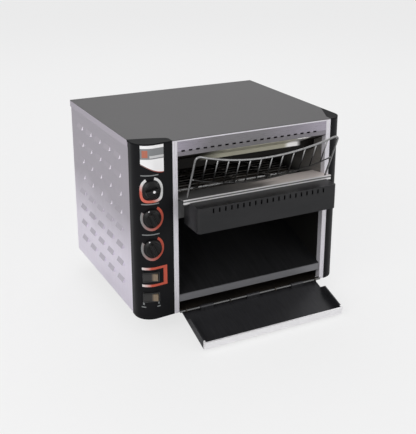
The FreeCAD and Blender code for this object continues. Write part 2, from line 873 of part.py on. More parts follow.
def heaters():
    """Each heater is a sheathed tube bent into a hairpin; its two legs leave through the left wall."""
    parts = {}
    for name, first, pitch, z in (
            ("upper_heaters", upper_heater_first_y, upper_heater_pitch, upper_heater_z),
            ("lower_heaters", lower_heater_first_y, lower_heater_pitch, lower_heater_z)):
        pins = []
        for index in range(heater_count):
            y = first + index * pitch
            bend_x = right_inner - heater_end_gap - heater_bend_radius
            stem_x = left_outer - heater_stem
            path = [V(stem_x, y - heater_bend_radius, z)]
            for step in range(heater_bend_steps + 1):
                angle = math.pi * step / heater_bend_steps
                path.append(V(bend_x + heater_bend_radius * math.sin(angle),
                              y - heater_bend_radius * math.cos(angle), z))
            path.append(V(stem_x, y + heater_bend_radius, z))
            pins.append(bent_wire(path, heater_radius, V(0, 0, 1), wire_sides))
        parts[name] = Part.makeCompound(pins)
    beads = []
    for y, z in heater_leg_places():
        start = left_outer - insulator_length + inner_skin + seam
        neck = heater_radius + bearing_seat
        profile = [(neck, 0), (insulator_neck_radius, 0), (insulator_neck_radius, insulator_length),
                   (neck, insulator_length)]
        clear = [(radius / math.cos(math.pi / wire_sides), height) for radius, height in profile]
        beads.append(faceted(clear, V(start, y, z), V(1, 0, 0), wire_sides))
    parts["heater_insulators"] = Part.makeCompound(beads)
    return parts


def sprocket_outline(teeth, pitch, roller, tooth_reach):
    """Points round a sprocket: a flat seat under each roller and a pointed tooth between seats."""
    radius = pitch / (2 * math.sin(math.pi / teeth))
    root = radius - roller
    tip = radius + tooth_reach
    step = 2 * math.pi / teeth
    seat_half = math.asin(roller / radius)
    points = []
    for tooth in range(teeth):
        seat = tooth * step
        middle = seat + step / 2
        points.append((seat - seat_half, root))
        points.append((seat + seat_half, root))
        points.append((middle, tip))
    return points


def sprocket(teeth, pitch, roller, tooth_reach, x0, width, y, z, hole, phase):
    corners = []
    for angle, reach in sprocket_outline(teeth, pitch, roller, tooth_reach):
        corners.append(V(x0, y + reach * math.cos(angle + phase), z + reach * math.sin(angle + phase)))
    face = Part.Face(Part.makePolygon(corners + corners[:1]))
    disc = face.extrude(V(width, 0, 0))
    return disc.cut(bore(V(x0 - overrun, y, z), V(x0 + width + overrun, y, z), hole, small_sides))


def belt_places():
    """Wire centres round the belt in (y, z): top run, back turn, bottom run, front turn."""
    places = []
    turn = 2 * math.pi / sprocket_teeth
    for link in range(belt_run_links + 1):
        places.append((belt_front_y + link * belt_pitch, shaft_z + belt_radius))
    for step in range(1, sprocket_teeth // 2):
        angle = math.pi / 2 - step * turn
        places.append((belt_back_y + belt_radius * math.cos(angle), shaft_z + belt_radius * math.sin(angle)))
    for link in range(belt_run_links + 1):
        places.append((belt_back_y - link * belt_pitch, shaft_z - belt_radius))
    for step in range(1, sprocket_teeth // 2):
        angle = -math.pi / 2 - step * turn
        places.append((belt_front_y + belt_radius * math.cos(angle), shaft_z + belt_radius * math.sin(angle)))
    return places


def belt_hook_places(index):
    """Hooks of one wire; those of the next wire stand half a space to the side."""
    spread = belt_width / belt_hook_count
    shift_share = 0.5 if index % 2 == 0 else 1
    count = belt_hook_count - index % 2
    return [opening_mid - belt_width / 2 + spread * (hook + shift_share) for hook in range(count)]


def conveyor_belt():
    """Wire belt: each cross wire is cranked at its hooks to reach the wire behind it."""
    places = belt_places()
    half = belt_wire / 2
    wires = []
    for index, (y, z) in enumerate(places):
        next_y, next_z = places[(index + 1) % len(places)]
        run = math.hypot(next_y - y, next_z - z)
        along = V(0, (next_y - y) / run, (next_z - z) / run)
        normal = V(0, -along.z, along.y)
        reach = run - belt_wire - belt_nest_gap
        origin = V(0, y, z)
        path = [(opening_mid - belt_width / 2, -half)]
        for x in belt_hook_places(index):
            path.append((x - belt_hook_half_width - belt_wire, -half))
            path.append((x - belt_hook_half_width, reach - half))
            path.append((x + belt_hook_half_width, reach - half))
            path.append((x + belt_hook_half_width + belt_wire, -half))
        path.append((opening_mid + belt_width / 2, -half))
        back = [(x, s + belt_wire) for x, s in path]
        outline = path + back[::-1]
        corners = [origin + V(x, 0, 0) + along * s - normal * half for x, s in outline]
        face = Part.Face(Part.makePolygon(corners + corners[:1]))
        wires.append(face.extrude(normal * belt_wire))
    return Part.makeCompound(wires)


def sprocket_places():
    return [opening_mid + (index - (belt_sprocket_count - 1) / 2) * belt_sprocket_spread
            for index in range(belt_sprocket_count)]


def belt_sprockets(y):
    discs = []
    roller = belt_wire / 2 + belt_seat_clearance
    for x in sprocket_places():
        discs.append(sprocket(sprocket_teeth, belt_pitch, roller, belt_tooth_reach, x - belt_sprocket_width / 2,
                              belt_sprocket_width, y, shaft_z, shaft_radius + fit, 0))
    return Part.makeCompound(discs)


def shafts():
    """Shafts turned down at their ends to run in the walls' bushes; the back one reaches out to the chain."""
    parts = {}
    bush_reach = inner_skin + shaft_end
    shoulder_left = left_outer + bush_reach + end_play
    shoulder_right = right_outer - bush_reach - end_play
    right_end = right_outer + bearing_flange + shaft_end
    left_end = left_outer - bearing_flange - shaft_end
    drive_end = left_outer - chain_line - chain_sprocket_width - shaft_end
    for name, y, start in (("idler_shaft", belt_front_y, left_end),
                           ("drive_shaft", belt_back_y, drive_end)):
        profile = [(0, start), (journal_radius, start), (journal_radius, shoulder_left),
                   (shaft_radius, shoulder_left), (shaft_radius, shoulder_right),
                   (journal_radius, shoulder_right), (journal_radius, right_end), (0, right_end)]
        parts[name] = faceted(profile, V(0, y, shaft_z), V(1, 0, 0), round_sides)
    for name, y in (("drive_sprockets", belt_back_y), ("idler_sprockets", belt_front_y)):
        parts[name] = belt_sprockets(y)
    bushes = []
    hole = journal_radius + fit
    for y in (belt_front_y, belt_back_y):
        for start, facing in ((left_outer - bearing_flange, 1), (right_outer + bearing_flange, -1)):
            profile = [(hole, 0), (bearing_flange_radius, 0), (bearing_flange_radius, bearing_flange),
                       (bearing_radius, bearing_flange), (bearing_radius, bearing_flange + bush_reach),
                       (hole, bearing_flange + bush_reach)]
            clear = [(radius / math.cos(math.pi / small_sides), height) for radius, height in profile]
            bushes.append(faceted(clear, V(start, y, shaft_z), V(facing, 0, 0), small_sides))
    parts["shaft_bearings"] = Part.makeCompound(bushes)
    return parts


def guide_rod_level():
    return shaft_z + belt_radius - belt_wire / 2 - guide_gap - guide_height + guide_rod_radius


def belt_guides():
    """Three rails under the belt's top run, on two rods that hang in the chamber's walls."""
    z1 = shaft_z + belt_radius - belt_wire / 2 - guide_gap
    rails = []
    for index in range(guide_count):
        x = opening_mid + (index - (guide_count - 1) / 2) * guide_spread
        rails.append(block(x - guide_width / 2, x + guide_width / 2, guide_front_y - guide_overhang,
                           guide_back_y + guide_overhang, z1 - guide_height, z1))
    for y in (guide_front_y, guide_back_y):
        z = guide_rod_level()
        rails.append(bar(V(left_outer - shaft_end, y, z), V(right_outer + shaft_end, y, z),
                         guide_rod_radius, wire_sides))
    return joined(rails)


def chain_drive():
    """Gear motor on its bracket, and the chain that goes up to the back shaft."""
    parts = {}
    motor_z = base_z + motor_level
    line_x1 = left_outer - chain_line
    line_x0 = line_x1 - chain_sprocket_width
    box_x1 = line_x0 - output_boss - chain_side_play - chain_width / 2
    box_x0 = box_x1 - gearbox_width
    y0, y1 = motor_y - gearbox_length / 2, motor_y + gearbox_length / 2
    z0, z1 = motor_z - gearbox_height / 2, motor_z + gearbox_height / 2
    case = block(box_x0, box_x1, y0, y1, z0, z1)
    long_edges = [edge for edge in case.Edges if abs(edge.tangentAt(0).x) > along_share]
    case = case.makeChamfer(gearbox_radius, long_edges)
    boss = bar(V(box_x1, motor_y, motor_z), V(box_x1 + output_boss, motor_y, motor_z), output_boss_radius,
               round_sides)
    can_x = (box_x0 + box_x1) / 2 + motor_offset
    can_z = motor_z - motor_drop + motor_offset
    profile = [(0, 0), (motor_radius - motor_cap / 2, 0), (motor_radius, motor_cap / 2),
               (motor_radius, motor_length), (0, motor_length)]
    can = faceted(profile, V(can_x, y0 - motor_length, can_z), V(0, 1, 0), 2 * small_sides)
    hole = bore(V(box_x0, motor_y, motor_z), V(box_x1 + overrun, motor_y, motor_z), output_radius + fit,
                small_sides)
    end_wall = block(box_x0 - overrun, box_x0 + bracket_wall, y0, y1, z0, z1)
    parts["gear_motor"] = joined([case, boss, can]).cut(hole.cut(end_wall))
    shaft_x0 = box_x0 + bracket_wall + end_play
    parts["motor_shaft"] = bar(V(shaft_x0, motor_y, motor_z), V(line_x1 + shaft_end, motor_y, motor_z),
                               output_radius, round_sides)
    foot = base_z + skin + seam
    top = z0 - seam
    path = [(y0 - sheet_flange, foot), (y0 + sheet_flange, foot), (y0 + sheet_flange, top - bracket_wall),
            (y1 - sheet_flange, top - bracket_wall), (y1 - sheet_flange, foot), (y1 + sheet_flange, foot)]
    bracket_x0, bracket_x1 = box_x0 + gearbox_radius, box_x1 - gearbox_radius
    parts["motor_bracket"] = across(folded(path, bracket_wall), bracket_x0, bracket_x1)
    roller = chain_roller_radius + fit
    tooth_reach = chain_roller_radius
    small = sprocket(motor_teeth, chain_pitch, roller, tooth_reach, line_x0, chain_sprocket_width,
                     motor_y, motor_z, output_radius + fit, 0)
    large = sprocket(driven_teeth, chain_pitch, roller, tooth_reach, line_x0, chain_sprocket_width,
                     belt_back_y, shaft_z, journal_radius + fit, 0)
    hub_x1 = left_outer - bearing_flange - end_play
    hub = bar(V(line_x1, belt_back_y, shaft_z), V(hub_x1, belt_back_y, shaft_z), hub_radius, small_sides)
    hub = hub.cut(bore(V(line_x0, belt_back_y, shaft_z), V(left_inner, belt_back_y, shaft_z),
                       journal_radius + fit, small_sides))
    parts["motor_sprocket"] = small
    parts["driven_sprocket"] = joined([large, hub])
    parts["drive_chain"] = drive_chain(line_x0 + chain_sprocket_width / 2, motor_z)
    return parts


def drive_chain(line_x, motor_z):
    """The chain's two rows of side plates, each as one closed band round both wheels."""
    small = chain_pitch / (2 * math.sin(math.pi / motor_teeth))
    large = chain_pitch / (2 * math.sin(math.pi / driven_teeth))
    low = V(0, motor_y, motor_z)
    high = V(0, belt_back_y, shaft_z)
    half = chain_plate_height / 2
    near = chain_sprocket_width / 2 + fit
    far = chain_width / 2 + chain_side_play
    bands = []
    for x0, x1 in ((line_x - far, line_x - near), (line_x + near, line_x + far)):
        outside = chain_loop(low, small + half, high, large + half, x0, x1)
        inside = chain_loop(low, small - half, high, large - half, x0 - overrun, x1 + overrun)
        bands.append(outside.cut(inside))
    return Part.makeCompound(bands)


def chain_loop(low, low_radius, high, high_radius, x0, x1):
    """A filled band round two wheels; like the chain, it turns a corner at each roller on a wheel."""
    line = high - low
    lean = math.acos((low_radius - high_radius) / line.Length)
    heading = math.atan2(line.z, line.y)
    corners = []
    for centre, radius, first, last, teeth in (
            (high, high_radius, -lean, lean, driven_teeth),
            (low, low_radius, lean, 2 * math.pi - lean, motor_teeth)):
        steps = round((last - first) * teeth / (2 * math.pi))
        for step in range(steps + 1):
            angle = heading + first + (last - first) * step / steps
            corners.append(V(x0, centre.y + radius * math.cos(angle), centre.z + radius * math.sin(angle)))
    return flat_face(corners).extrude(V(x1 - x0, 0, 0))


def cooling_fan():
    """Small axial fan on the back panel: square frame with a spider, and a seven-blade rotor on a pin."""
    parts = {}
    x, z = left_x + fan_x_inset, base_z + fan_level
    y1 = rear_in - seam
    y0 = y1 - fan_depth
    half = fan_size / 2
    frame = block(x - half, x + half, y0, y1, z - half, z + half)
    corner_edges = [edge for edge in frame.Edges if abs(edge.tangentAt(0).y) > along_share]
    frame = frame.makeChamfer(fan_corner, corner_edges)
    frame = frame.cut(bore(V(x, y0 - overrun, z), V(x, y1 + overrun, z), fan_bore, 2 * small_sides))
    arms = []
    for angle in (math.pi / 4, 3 * math.pi / 4):
        reach_x, reach_z = (fan_bore + fan_wall) * math.cos(angle), (fan_bore + fan_wall) * math.sin(angle)
        side_x, side_z = -fan_spider_width / 2 * math.sin(angle), fan_spider_width / 2 * math.cos(angle)
        corners = [V(x + sx * reach_x + tx * side_x, y0, z + sx * reach_z + tx * side_z)
                   for sx, tx in ((-1, -1), (1, -1), (1, 1), (-1, 1))]
        arms.append(Part.Face(Part.makePolygon(corners + corners[:1])).extrude(V(0, fan_spider_depth, 0)))
    hub = bar(V(x, y0, z), V(x, y0 + fan_spider_depth, z), fan_motor_radius, round_sides)
    pin = bar(V(x, y0, z), V(x, y0 + fan_hub_depth - fan_wall, z), fan_pin_radius, wire_sides)
    parts["fan_housing"] = joined([frame, hub, pin] + arms)
    hub_y0 = y0 + fan_spider_depth + end_play
    hub_y1 = y0 + fan_hub_depth
    rotor = bar(V(x, hub_y0, z), V(x, hub_y1, z), fan_hub_radius, 2 * fan_blade_count)
    blades = []
    pitch = math.radians(fan_blade_angle)
    for index in range(fan_blade_count):
        blade = block(fan_hub_radius - fan_wall, fan_blade_reach, -fan_blade_thickness / 2,
                      fan_blade_thickness / 2, -fan_blade_depth / 2, fan_blade_depth / 2)
        blade.rotate(V(0, 0, 0), V(1, 0, 0), math.degrees(pitch))
        blade.rotate(V(0, 0, 0), V(0, 0, 1), 360 * index / fan_blade_count)
        blade.Placement = FreeCAD.Placement(V(x, (hub_y0 + hub_y1) / 2, z),
                                            FreeCAD.Rotation(V(0, 0, 1), V(0, 1, 0))).multiply(blade.Placement)
        blades.append(blade)
    hole = bore(V(x, y0, z), V(x, hub_y1 - fan_wall + end_play, z), fan_pin_radius + fit, wire_sides)
    parts["fan_rotor"] = joined([rotor] + blades).cut(hole)
    return parts


def supply_parts():
    """Cable gland in the back panel, and the terminal block that the supply would be wired to."""
    x, z = left_x + gland_x_inset, base_z + gland_level
    y = rear_in - gland_flange
    length = gland_flange + skin + gland_reach
    profile = [(gland_bore, 0), (gland_flange_radius, 0), (gland_flange_radius, gland_flange - seam),
               (gland_radius, gland_flange - seam), (gland_radius, gland_flange + skin + seam),
               (gland_flange_radius, gland_flange + skin + seam),
               (gland_flange_radius, gland_flange * 2 + skin), (gland_radius, gland_flange * 2 + skin),
               (gland_bore + fan_wall, length), (gland_bore, length)]
    gland = faceted(profile, V(x, y, z), V(0, 1, 0), small_sides)
    y1 = rear_in - terminal_back_gap
    foot = base_z + skin + seam
    half = terminal_width / 2
    body = block(x - half, x + half, y1 - terminal_length, y1, foot, foot + terminal_height)
    grooves = []
    for way in range(1, terminal_ways):
        gx = x - half + way * terminal_width / terminal_ways
        grooves.append(block(gx - terminal_groove / 2, gx + terminal_groove / 2, y1 - terminal_length - overrun,
                             y1 + overrun, foot + terminal_height / 2, foot + terminal_height + overrun))
    for way in range(terminal_ways):
        gx = x + (way - (terminal_ways - 1) / 2) * terminal_width / terminal_ways
        for y2 in (y1 - terminal_length * terminal_screw_share, y1 - terminal_length * (1 - terminal_screw_share)):
            grooves.append(bar(V(gx, y2, foot + terminal_height / 2), V(gx, y2, foot + terminal_height + overrun),
                               terminal_groove, bar_sides))
    return {"supply_gland": gland, "terminal_block": body.cut(Part.makeCompound(grooves))}


def controls():
    """Three knobs with their controls; each sits square to the bowed skin of the column."""
    parts = {}
    place, facing = column_surface(knob_x)
    for name, level, set_turn in (("speed", speed_knob_z, speed_knob_turn),
                                  ("top_heat", top_heat_knob_z, heat_knob_turn),
                                  ("bottom_heat", bottom_heat_knob_z, heat_knob_turn)):
        skin_point = V(place.x, place.y, level)
        seat = skin_point + facing * (control_bush_reach + knob_gap)
        profile = [(0, 0), (knob_skirt_radius, 0), (knob_skirt_radius - knob_edge / 2, knob_skirt_height),
                   (knob_body_radius, knob_skirt_height + knob_edge), (knob_top_radius, knob_height - knob_edge),
                   (knob_top_radius - knob_edge, knob_height), (0, knob_height)]
        knob = faceted(profile, V(0, 0, 0), V(0, 0, 1), round_sides)
        reach = knob_skirt_radius + overrun
        for side in (-1, 1):
            low, high = sorted((side * knob_grip_width / 2, side * reach))
            knob = knob.cut(block(low, high, -reach, reach, knob_face_height, knob_height + overrun))
        knob = knob.cut(bore(V(0, 0, -overrun), V(0, 0, knob_bore_depth), control_shaft_radius + fit, small_sides))
        turn = FreeCAD.Rotation(V(1, 0, 0), V(0, 0, 1), facing, "ZXY")
        knob.rotate(V(0, 0, 0), V(0, 0, 1), knob_start_turn - set_turn)
        knob.Placement = FreeCAD.Placement(seat, turn).multiply(knob.Placement)
        parts[name + "_knob"] = knob
        back = skin_point - facing * (column_wall + control_stand + control_body_depth)
        bush_end = control_body_depth + control_stand + column_wall + control_bush_reach
        body_profile = [(0, 0), (control_body_radius, 0), (control_body_radius, control_body_depth),
                        (control_bush_radius, control_body_depth), (control_bush_radius, bush_end), (0, bush_end)]
        body = faceted(body_profile, back, facing, small_sides)
        tag = block(-control_tag_width / 2, control_tag_width / 2, -control_body_radius - control_tag_height,
                    0, control_tag_thickness, 2 * control_tag_thickness)
        tag.Placement = FreeCAD.Placement(back, turn)
        shaft_bottom = back + facing * control_tag_thickness
        hole = bore(shaft_bottom - facing * end_play, seat + facing * overrun, control_shaft_radius + fit,
                    small_sides)
        parts[name + "_control"] = joined([body, tag]).cut(hole)
        shaft_top = seat + facing * (knob_bore_depth - end_play)
        parts[name + "_shaft"] = bar(shaft_bottom, shaft_top, control_shaft_radius, small_sides)
    return parts


def rocker_block(level, half_width, half_height, depth, height):
    """A square block in front of and behind the column's skin, square to it where a rocker sits."""
    shape = block(-half_width, half_width, -half_height, half_height, depth, height)
    shape.Placement = rocker_frame(level)
    return shape


def rocker_frame(level):
    place, facing = column_surface(rocker_x)
    turn = FreeCAD.Rotation(V(1, 0, 0), V(0, 0, 1), facing, "ZXY")
    return FreeCAD.Placement(V(place.x, place.y, level), turn)


def rocker_switches():
    """Wide rockers that tip about an upright pin; the right half stands out at rest."""
    parts = {}
    for name, level in (("power", power_rocker_z), ("feed", feed_rocker_z)):
        half_w = rocker_width / 2 + bezel_wall
        half_h = rocker_height / 2 + bezel_wall
        frame = rocker_block(level, half_w, half_h, -rocker_body_depth, bezel_proud)
        pocket = rocker_block(level, rocker_width / 2 + rocker_gap, rocker_height / 2 + rocker_gap,
                              -rocker_sink - rocker_height / 2, overrun)
        pin_hole = bore(V(0, -half_h + bezel_wall / 2, -rocker_sink), V(0, half_h - bezel_wall / 2, -rocker_sink),
                        rocker_pin_radius + rocker_pin_clearance, wire_sides)
        pin_hole.Placement = rocker_frame(level).multiply(pin_hole.Placement)
        parts[name + "_switch"] = frame.cut(pocket).cut(pin_hole)
        parts[name + "_rocker"] = rocker(level)
    return parts


def rocker(level):
    """Key with a shallow V face: two flats that meet over the pin."""
    rise = math.radians(rocker_rise_angle)
    half = rocker_width / 2 - rocker_gap
    face = bezel_proud + rocker_sink
    low = -rocker_height / 2 + bezel_wall
    points = [(-half, face - bezel_proud / 2), (-half * math.cos(rise), face + half * math.sin(rise)),
              (0, face - rocker_gap), (half * math.cos(rise), face + half * math.sin(rise)),
              (half, face - bezel_proud / 2), (half / 2, low), (-half / 2, low)]
    corners = [V(x, -rocker_height / 2 + rocker_gap, height) for x, height in points]
    key = Part.Face(Part.makePolygon(corners + corners[:1])).extrude(V(0, rocker_height - 2 * rocker_gap, 0))
    pin_half = rocker_height / 2 + bezel_wall / 2 - rocker_gap
    pin = bar(V(0, -pin_half, 0), V(0, pin_half, 0), rocker_pin_radius, wire_sides)
    whole = joined([key, pin])
    whole.rotate(V(0, 0, 0), V(0, 1, 0), -rocker_rise_angle)
    whole.translate(V(0, 0, -rocker_sink))
    whole.Placement = rocker_frame(level).multiply(whole.Placement)
    return whole


def badge_plate():
    """Thin plate that follows the bow of the column."""
    z0, z1 = base_z + body_height * badge_bottom_share, top_z - badge_top_drop
    outside = column_fill(-1, -badge_thickness - seam, 0, column_depth, z0, z1)
    inside = column_fill(-1, -seam, -overrun, column_depth + overrun, z0 - overrun, z1 + overrun)
    window = block(left_x + badge_left, left_x + badge_right, -column_depth, column_radius, z0, z1)
    return outside.cut(inside).common(window)


def guard_sides():
    return opening_left + guard_inset, opening_right - guard_inset


def loader_guard():
    """Black box round the front of the belt: a five-sided shell, open at the back, slotted along its top."""
    x0, x1 = guard_sides()
    z0, z1 = guard_bottom, guard_top
    shell = block(x0, x1, -guard_front_y, -seam, z0, z1)
    front_edges = [edge for edge in shell.Edges
                   if edge.CenterOfMass.y < -guard_front_y + seam and abs(edge.tangentAt(0).z) > along_share]
    shell = shell.makeChamfer(guard_corner, front_edges)
    hollow = block(x0 + skin, x1 - skin, -guard_front_y + skin, overrun, z0 + skin, z1 - skin)
    hollow_edges = [edge for edge in hollow.Edges
                    if edge.CenterOfMass.y < -guard_front_y + skin + seam
                    and abs(edge.tangentAt(0).z) > along_share]
    hollow = hollow.makeChamfer(guard_corner - skin, hollow_edges)
    shell = shell.cut(hollow)
    shelf_room_z = shelf_lip_bottom - seam
    shell = shell.cut(block(x0 - overrun, x1 + overrun, -shelf_front_y - seam - skin, overrun,
                            shelf_room_z, z1 + overrun))
    slots = []
    for index in range(guard_slot_count):
        x = opening_mid + (index - (guard_slot_count - 1) / 2) * guard_slot_pitch
        slots.append(block(x - guard_slot_width / 2, x + guard_slot_width / 2, -guard_front_y - overrun,
                           -guard_front_y + overrun, z1 - guard_slot_drop - guard_slot_height, z1 - guard_slot_drop))
    foot, up = rack_axis()
    for side in (-1, 1):
        place = foot + V(side * rack_half_width, 0, 0)
        reach = rack_wire / 2 + rack_play + rack_socket_wall + rack_play
        slots.append(bore(place - up * (rack_plug_length + rack_play), place + up * rack_plug_length, reach,
                          wire_sides))
    return shell.cut(Part.makeCompound(slots))


def guard_brackets():
    x0, x1 = guard_sides()
    z0, z1 = shaft_z - bracket_fall, shelf_lip_bottom - seam
    solids = []
    for near, far in ((opening_left + seam, x0 - seam), (opening_right - seam, x1 + seam)):
        plate = block(min(near, far), max(near, far), 0, skin, z0, z1)
        wing = near + math.copysign(skin, far - near)
        leg = block(min(near, wing), max(near, wing), 0, bracket_depth, z0, z1)
        solids.append(joined([plate, leg]))
    return Part.makeCompound(solids)


def rack_axis():
    """Where a rack leg goes through the shelf in (y, z), and the way it points up and out."""
    lean = math.radians(rack_lean_angle)
    run = shelf_front_y + shelf_back_y
    fall = (shelf_front_y - rack_foot_y) / run * (shelf_lip_top - shelf_back_level)
    foot = V(opening_mid, -rack_foot_y, shelf_lip_top - fall)
    return foot, V(0, -math.sin(lean), math.cos(lean))


def loader_shelf():
    """Polished ramp from the lip over the guard back to the belt, with two welded sockets for the rack."""
    x0, x1 = opening_left + shelf_play, opening_right - shelf_play
    path = [(shelf_back_y, shelf_back_level), (-shelf_front_y, shelf_lip_top),
            (-shelf_front_y, shelf_lip_bottom), (-shelf_front_y + shelf_hem, shelf_lip_bottom)]
    ramp = across(folded(path, skin), x0, x1)
    foot, up = rack_axis()
    sockets, holes = [], []
    hole = rack_wire / 2 + rack_play
    for side in (-1, 1):
        place = foot + V(side * rack_half_width, 0, 0)
        foot_end = place - up * rack_plug_length
        sockets.append(bar(foot_end, place - up * skin / 2, hole + rack_socket_wall, small_sides))
        holes.append(bore(foot_end + up * skin, place + up * overrun, hole, small_sides))
    return joined([ramp] + sockets).cut(Part.makeCompound(holes))


def loading_rack():
    """Wire rack: one bent frame wire with a sagging top, a lower cross wire like it, and a row of bars."""
    foot, up = rack_axis()
    bend = math.radians(rack_sag_angle)
    half, corner = rack_half_width, rack_corner_radius
    side_top = rack_leg_length - corner * math.cos(bend)
    span = half - corner * (1 + math.sin(bend))
    sag_radius = span / math.sin(bend)
    top = side_top + corner * math.cos(bend)

    def at(s, t):
        return foot + V(s, 0, 0) + up * t

    def sag(s, level):
        return level - math.sqrt(sag_radius ** 2 - s ** 2) + sag_radius * math.cos(bend)

    normal = up.cross(V(1, 0, 0))
    plug = -rack_plug_length + skin + end_play
    places = [-half + (index + 1) * 2 * half / (rack_bar_count + 1) for index in range(rack_bar_count)]
    corner_points = []
    for step in range(rack_corner_steps + 1):
        angle = (math.pi / 2 + bend) * step / rack_corner_steps
        corner_points.append((half - corner + corner * math.cos(angle), side_top + corner * math.sin(angle)))
    right_leg = [at(half, plug)] + [at(s, t) for s, t in corner_points]
    left_leg = [at(-half, plug)] + [at(-s, t) for s, t in corner_points]
    top_points = [at(s, sag(s, top)) for s in places if abs(s) < span]
    frame = bent_wire(left_leg + top_points + right_leg[::-1], rack_wire / 2, normal, wire_sides)
    low = top - rack_bar_drop
    cross_points = [at(s, sag(s, low)) for s in [-half] + places + [half]]
    cross = bent_wire(cross_points, rack_bar_wire / 2, normal, bar_sides)
    bars = []
    for s in places:
        level = sag(min(abs(s), span), top)
        bars.append(bent_wire([at(s, sag(s, low)), at(s, level)], rack_bar_wire / 2, normal, bar_sides))
    return frame.multiFuse([cross] + bars)


def landing_tray():
    """Tray that hangs on the rod by three curled hooks and tucks its back edge under the pan."""
    rod_y, rod_z = tray_rod_place()
    half = tray_width / 2
    front = tray_front_reach
    floor_top = -tray_drop
    back = (tray_drop * math.cos(slope) - tray_rod_radius - tray_rest_gap) / math.sin(slope)
    floor = (-back, front, floor_top - skin, floor_top)
    pieces = [block(-half, half, -floor[1], -floor[0], floor[2], floor[3])]
    wall_top = floor_top + tray_wall_height
    for side in (-1, 1):
        x0, x1 = sorted((side * half, side * (half - skin)))
        start = tray_wall_start
        outline = [(-front, floor[2]), (-start, floor[2]), (-start, floor_top),
                   (-start - tray_wall_taper, wall_top), (-front, wall_top)]
        pieces.append(across(outline, x0, x1))
        hem_x0, hem_x1 = sorted((side * half, side * (half - tray_hem)))
        pieces.append(block(hem_x0, hem_x1, -front, -start - tray_wall_taper, wall_top - skin, wall_top))
    pieces.append(block(-half, half, -front, -front + tray_lip_wall, floor[2], floor_top + tray_lip_height))
    inner = tray_rod_radius + tray_hook_play
    outer = inner + tray_hook_wall
    for index in range(tray_hook_count):
        x = (index - (tray_hook_count - 1) / 2) * tray_hook_spread
        x0, x1 = x - tray_hook_width / 2, x + tray_hook_width / 2
        curl = bar(V(x0, 0, 0), V(x1, 0, 0), outer, small_sides)
        curl = curl.cut(bore(V(x0 - overrun, 0, 0), V(x1 + overrun, 0, 0), inner, small_sides))
        curl = curl.cut(block(x0 - overrun, x1 + overrun, 0, 2 * outer, -2 * outer, 0))
        curl = curl.cut(block(x0 - overrun, x1 + overrun, -2 * outer, 0, -2 * outer, 0))
        leg = block(x0, x1, -outer, -inner, floor_top - skin / 2, 0)
        pieces.append(curl.fuse(leg))
    tray = joined(pieces)
    tray.rotate(V(0, 0, 0), V(1, 0, 0), slope_angle)
    tray.translate(V(opening_mid, rod_y, rod_z))
    return tray


def all_parts():
    parts = {"base_pan": base_pan(), "rear_panel": rear_panel(), "top_cover": top_cover(),
             "front_header": front_header(), "feet": feet(), "tray_rod": tray_rod(),
             "discharge_chute": discharge_chute(), "conveyor_belt": conveyor_belt(), "belt_guides": belt_guides(),
             "badge_plate": badge_plate(), "loader_guard": loader_guard(), "guard_brackets": guard_brackets(),
             "loader_shelf": loader_shelf(), "loading_rack": loading_rack(), "landing_tray": landing_tray()}
    for group in (control_columns, column_caps, trims, side_panels, inner_walls, chamber_linings, heaters, shafts,
                  chain_drive, cooling_fan, supply_parts, controls, rocker_switches):
        parts.update(group())
    return parts


def front_reach():
    """How far the top of the tray's lip stands before the trim."""
    rod_y, rod_z = tray_rod_place()
    lip_top = tray_lip_height - tray_drop
    return -rod_y + tray_front_reach * math.cos(slope) + lip_top * math.sin(slope)


os.makedirs("parts", exist_ok=True)
back_reach = rear_in + skin + gland_reach
shift = V(0, (front_reach() - back_reach) / 2, 0)
for name, shape in sorted(all_parts().items()):
    shape.translate(shift)
    shape.exportStep("parts/" + name + ".step")
    solids = shape.Solids
    volume = sum(solid.Volume for solid in solids)
    print(name, len(solids), "solids", round(volume), "mm3", "valid" if shape.isValid() else "NOT VALID")
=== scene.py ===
import bpy
import bmesh
import math
from mathutils import Matrix, Vector


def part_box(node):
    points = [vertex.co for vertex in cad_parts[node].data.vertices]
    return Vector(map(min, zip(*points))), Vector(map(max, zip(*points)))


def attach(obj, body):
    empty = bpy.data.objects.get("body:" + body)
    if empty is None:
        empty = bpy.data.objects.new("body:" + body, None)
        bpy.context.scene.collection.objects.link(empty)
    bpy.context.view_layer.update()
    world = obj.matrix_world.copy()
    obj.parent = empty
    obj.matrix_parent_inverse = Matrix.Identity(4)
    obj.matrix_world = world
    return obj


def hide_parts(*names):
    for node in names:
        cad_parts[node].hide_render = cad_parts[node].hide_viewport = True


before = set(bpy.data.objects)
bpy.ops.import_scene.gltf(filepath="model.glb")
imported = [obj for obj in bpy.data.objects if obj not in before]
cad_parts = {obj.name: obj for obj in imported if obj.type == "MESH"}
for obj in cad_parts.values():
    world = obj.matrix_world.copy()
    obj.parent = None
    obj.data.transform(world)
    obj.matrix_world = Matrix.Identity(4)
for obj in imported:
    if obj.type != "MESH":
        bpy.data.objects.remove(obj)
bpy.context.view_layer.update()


# Side panels and back: sheets of brushed stainless steel with pressed louvres.
# They are folded at their edges and hang on the inside of the cover and the floor pan.
class Value:
    """One output of a finish's nodes; sums on it add Math nodes."""

    def __init__(self, finish, socket):
        self.finish = finish
        self.socket = socket

    def sum(self, operation, first, second):
        return self.finish.node("ShaderNodeMath", {"operation": operation}, {0: first, 1: second})

    def __add__(self, other):
        return self.sum("ADD", self, other)

    __radd__ = __add__

    def __sub__(self, other):
        return self.sum("SUBTRACT", self, other)

    def __rsub__(self, other):
        return self.sum("SUBTRACT", other, self)

    def __mul__(self, other):
        return self.sum("MULTIPLY", self, other)

    __rmul__ = __mul__

    def __gt__(self, other):
        return self.sum("GREATER_THAN", self, other)

    def __lt__(self, other):
        return self.sum("LESS_THAN", self, other)


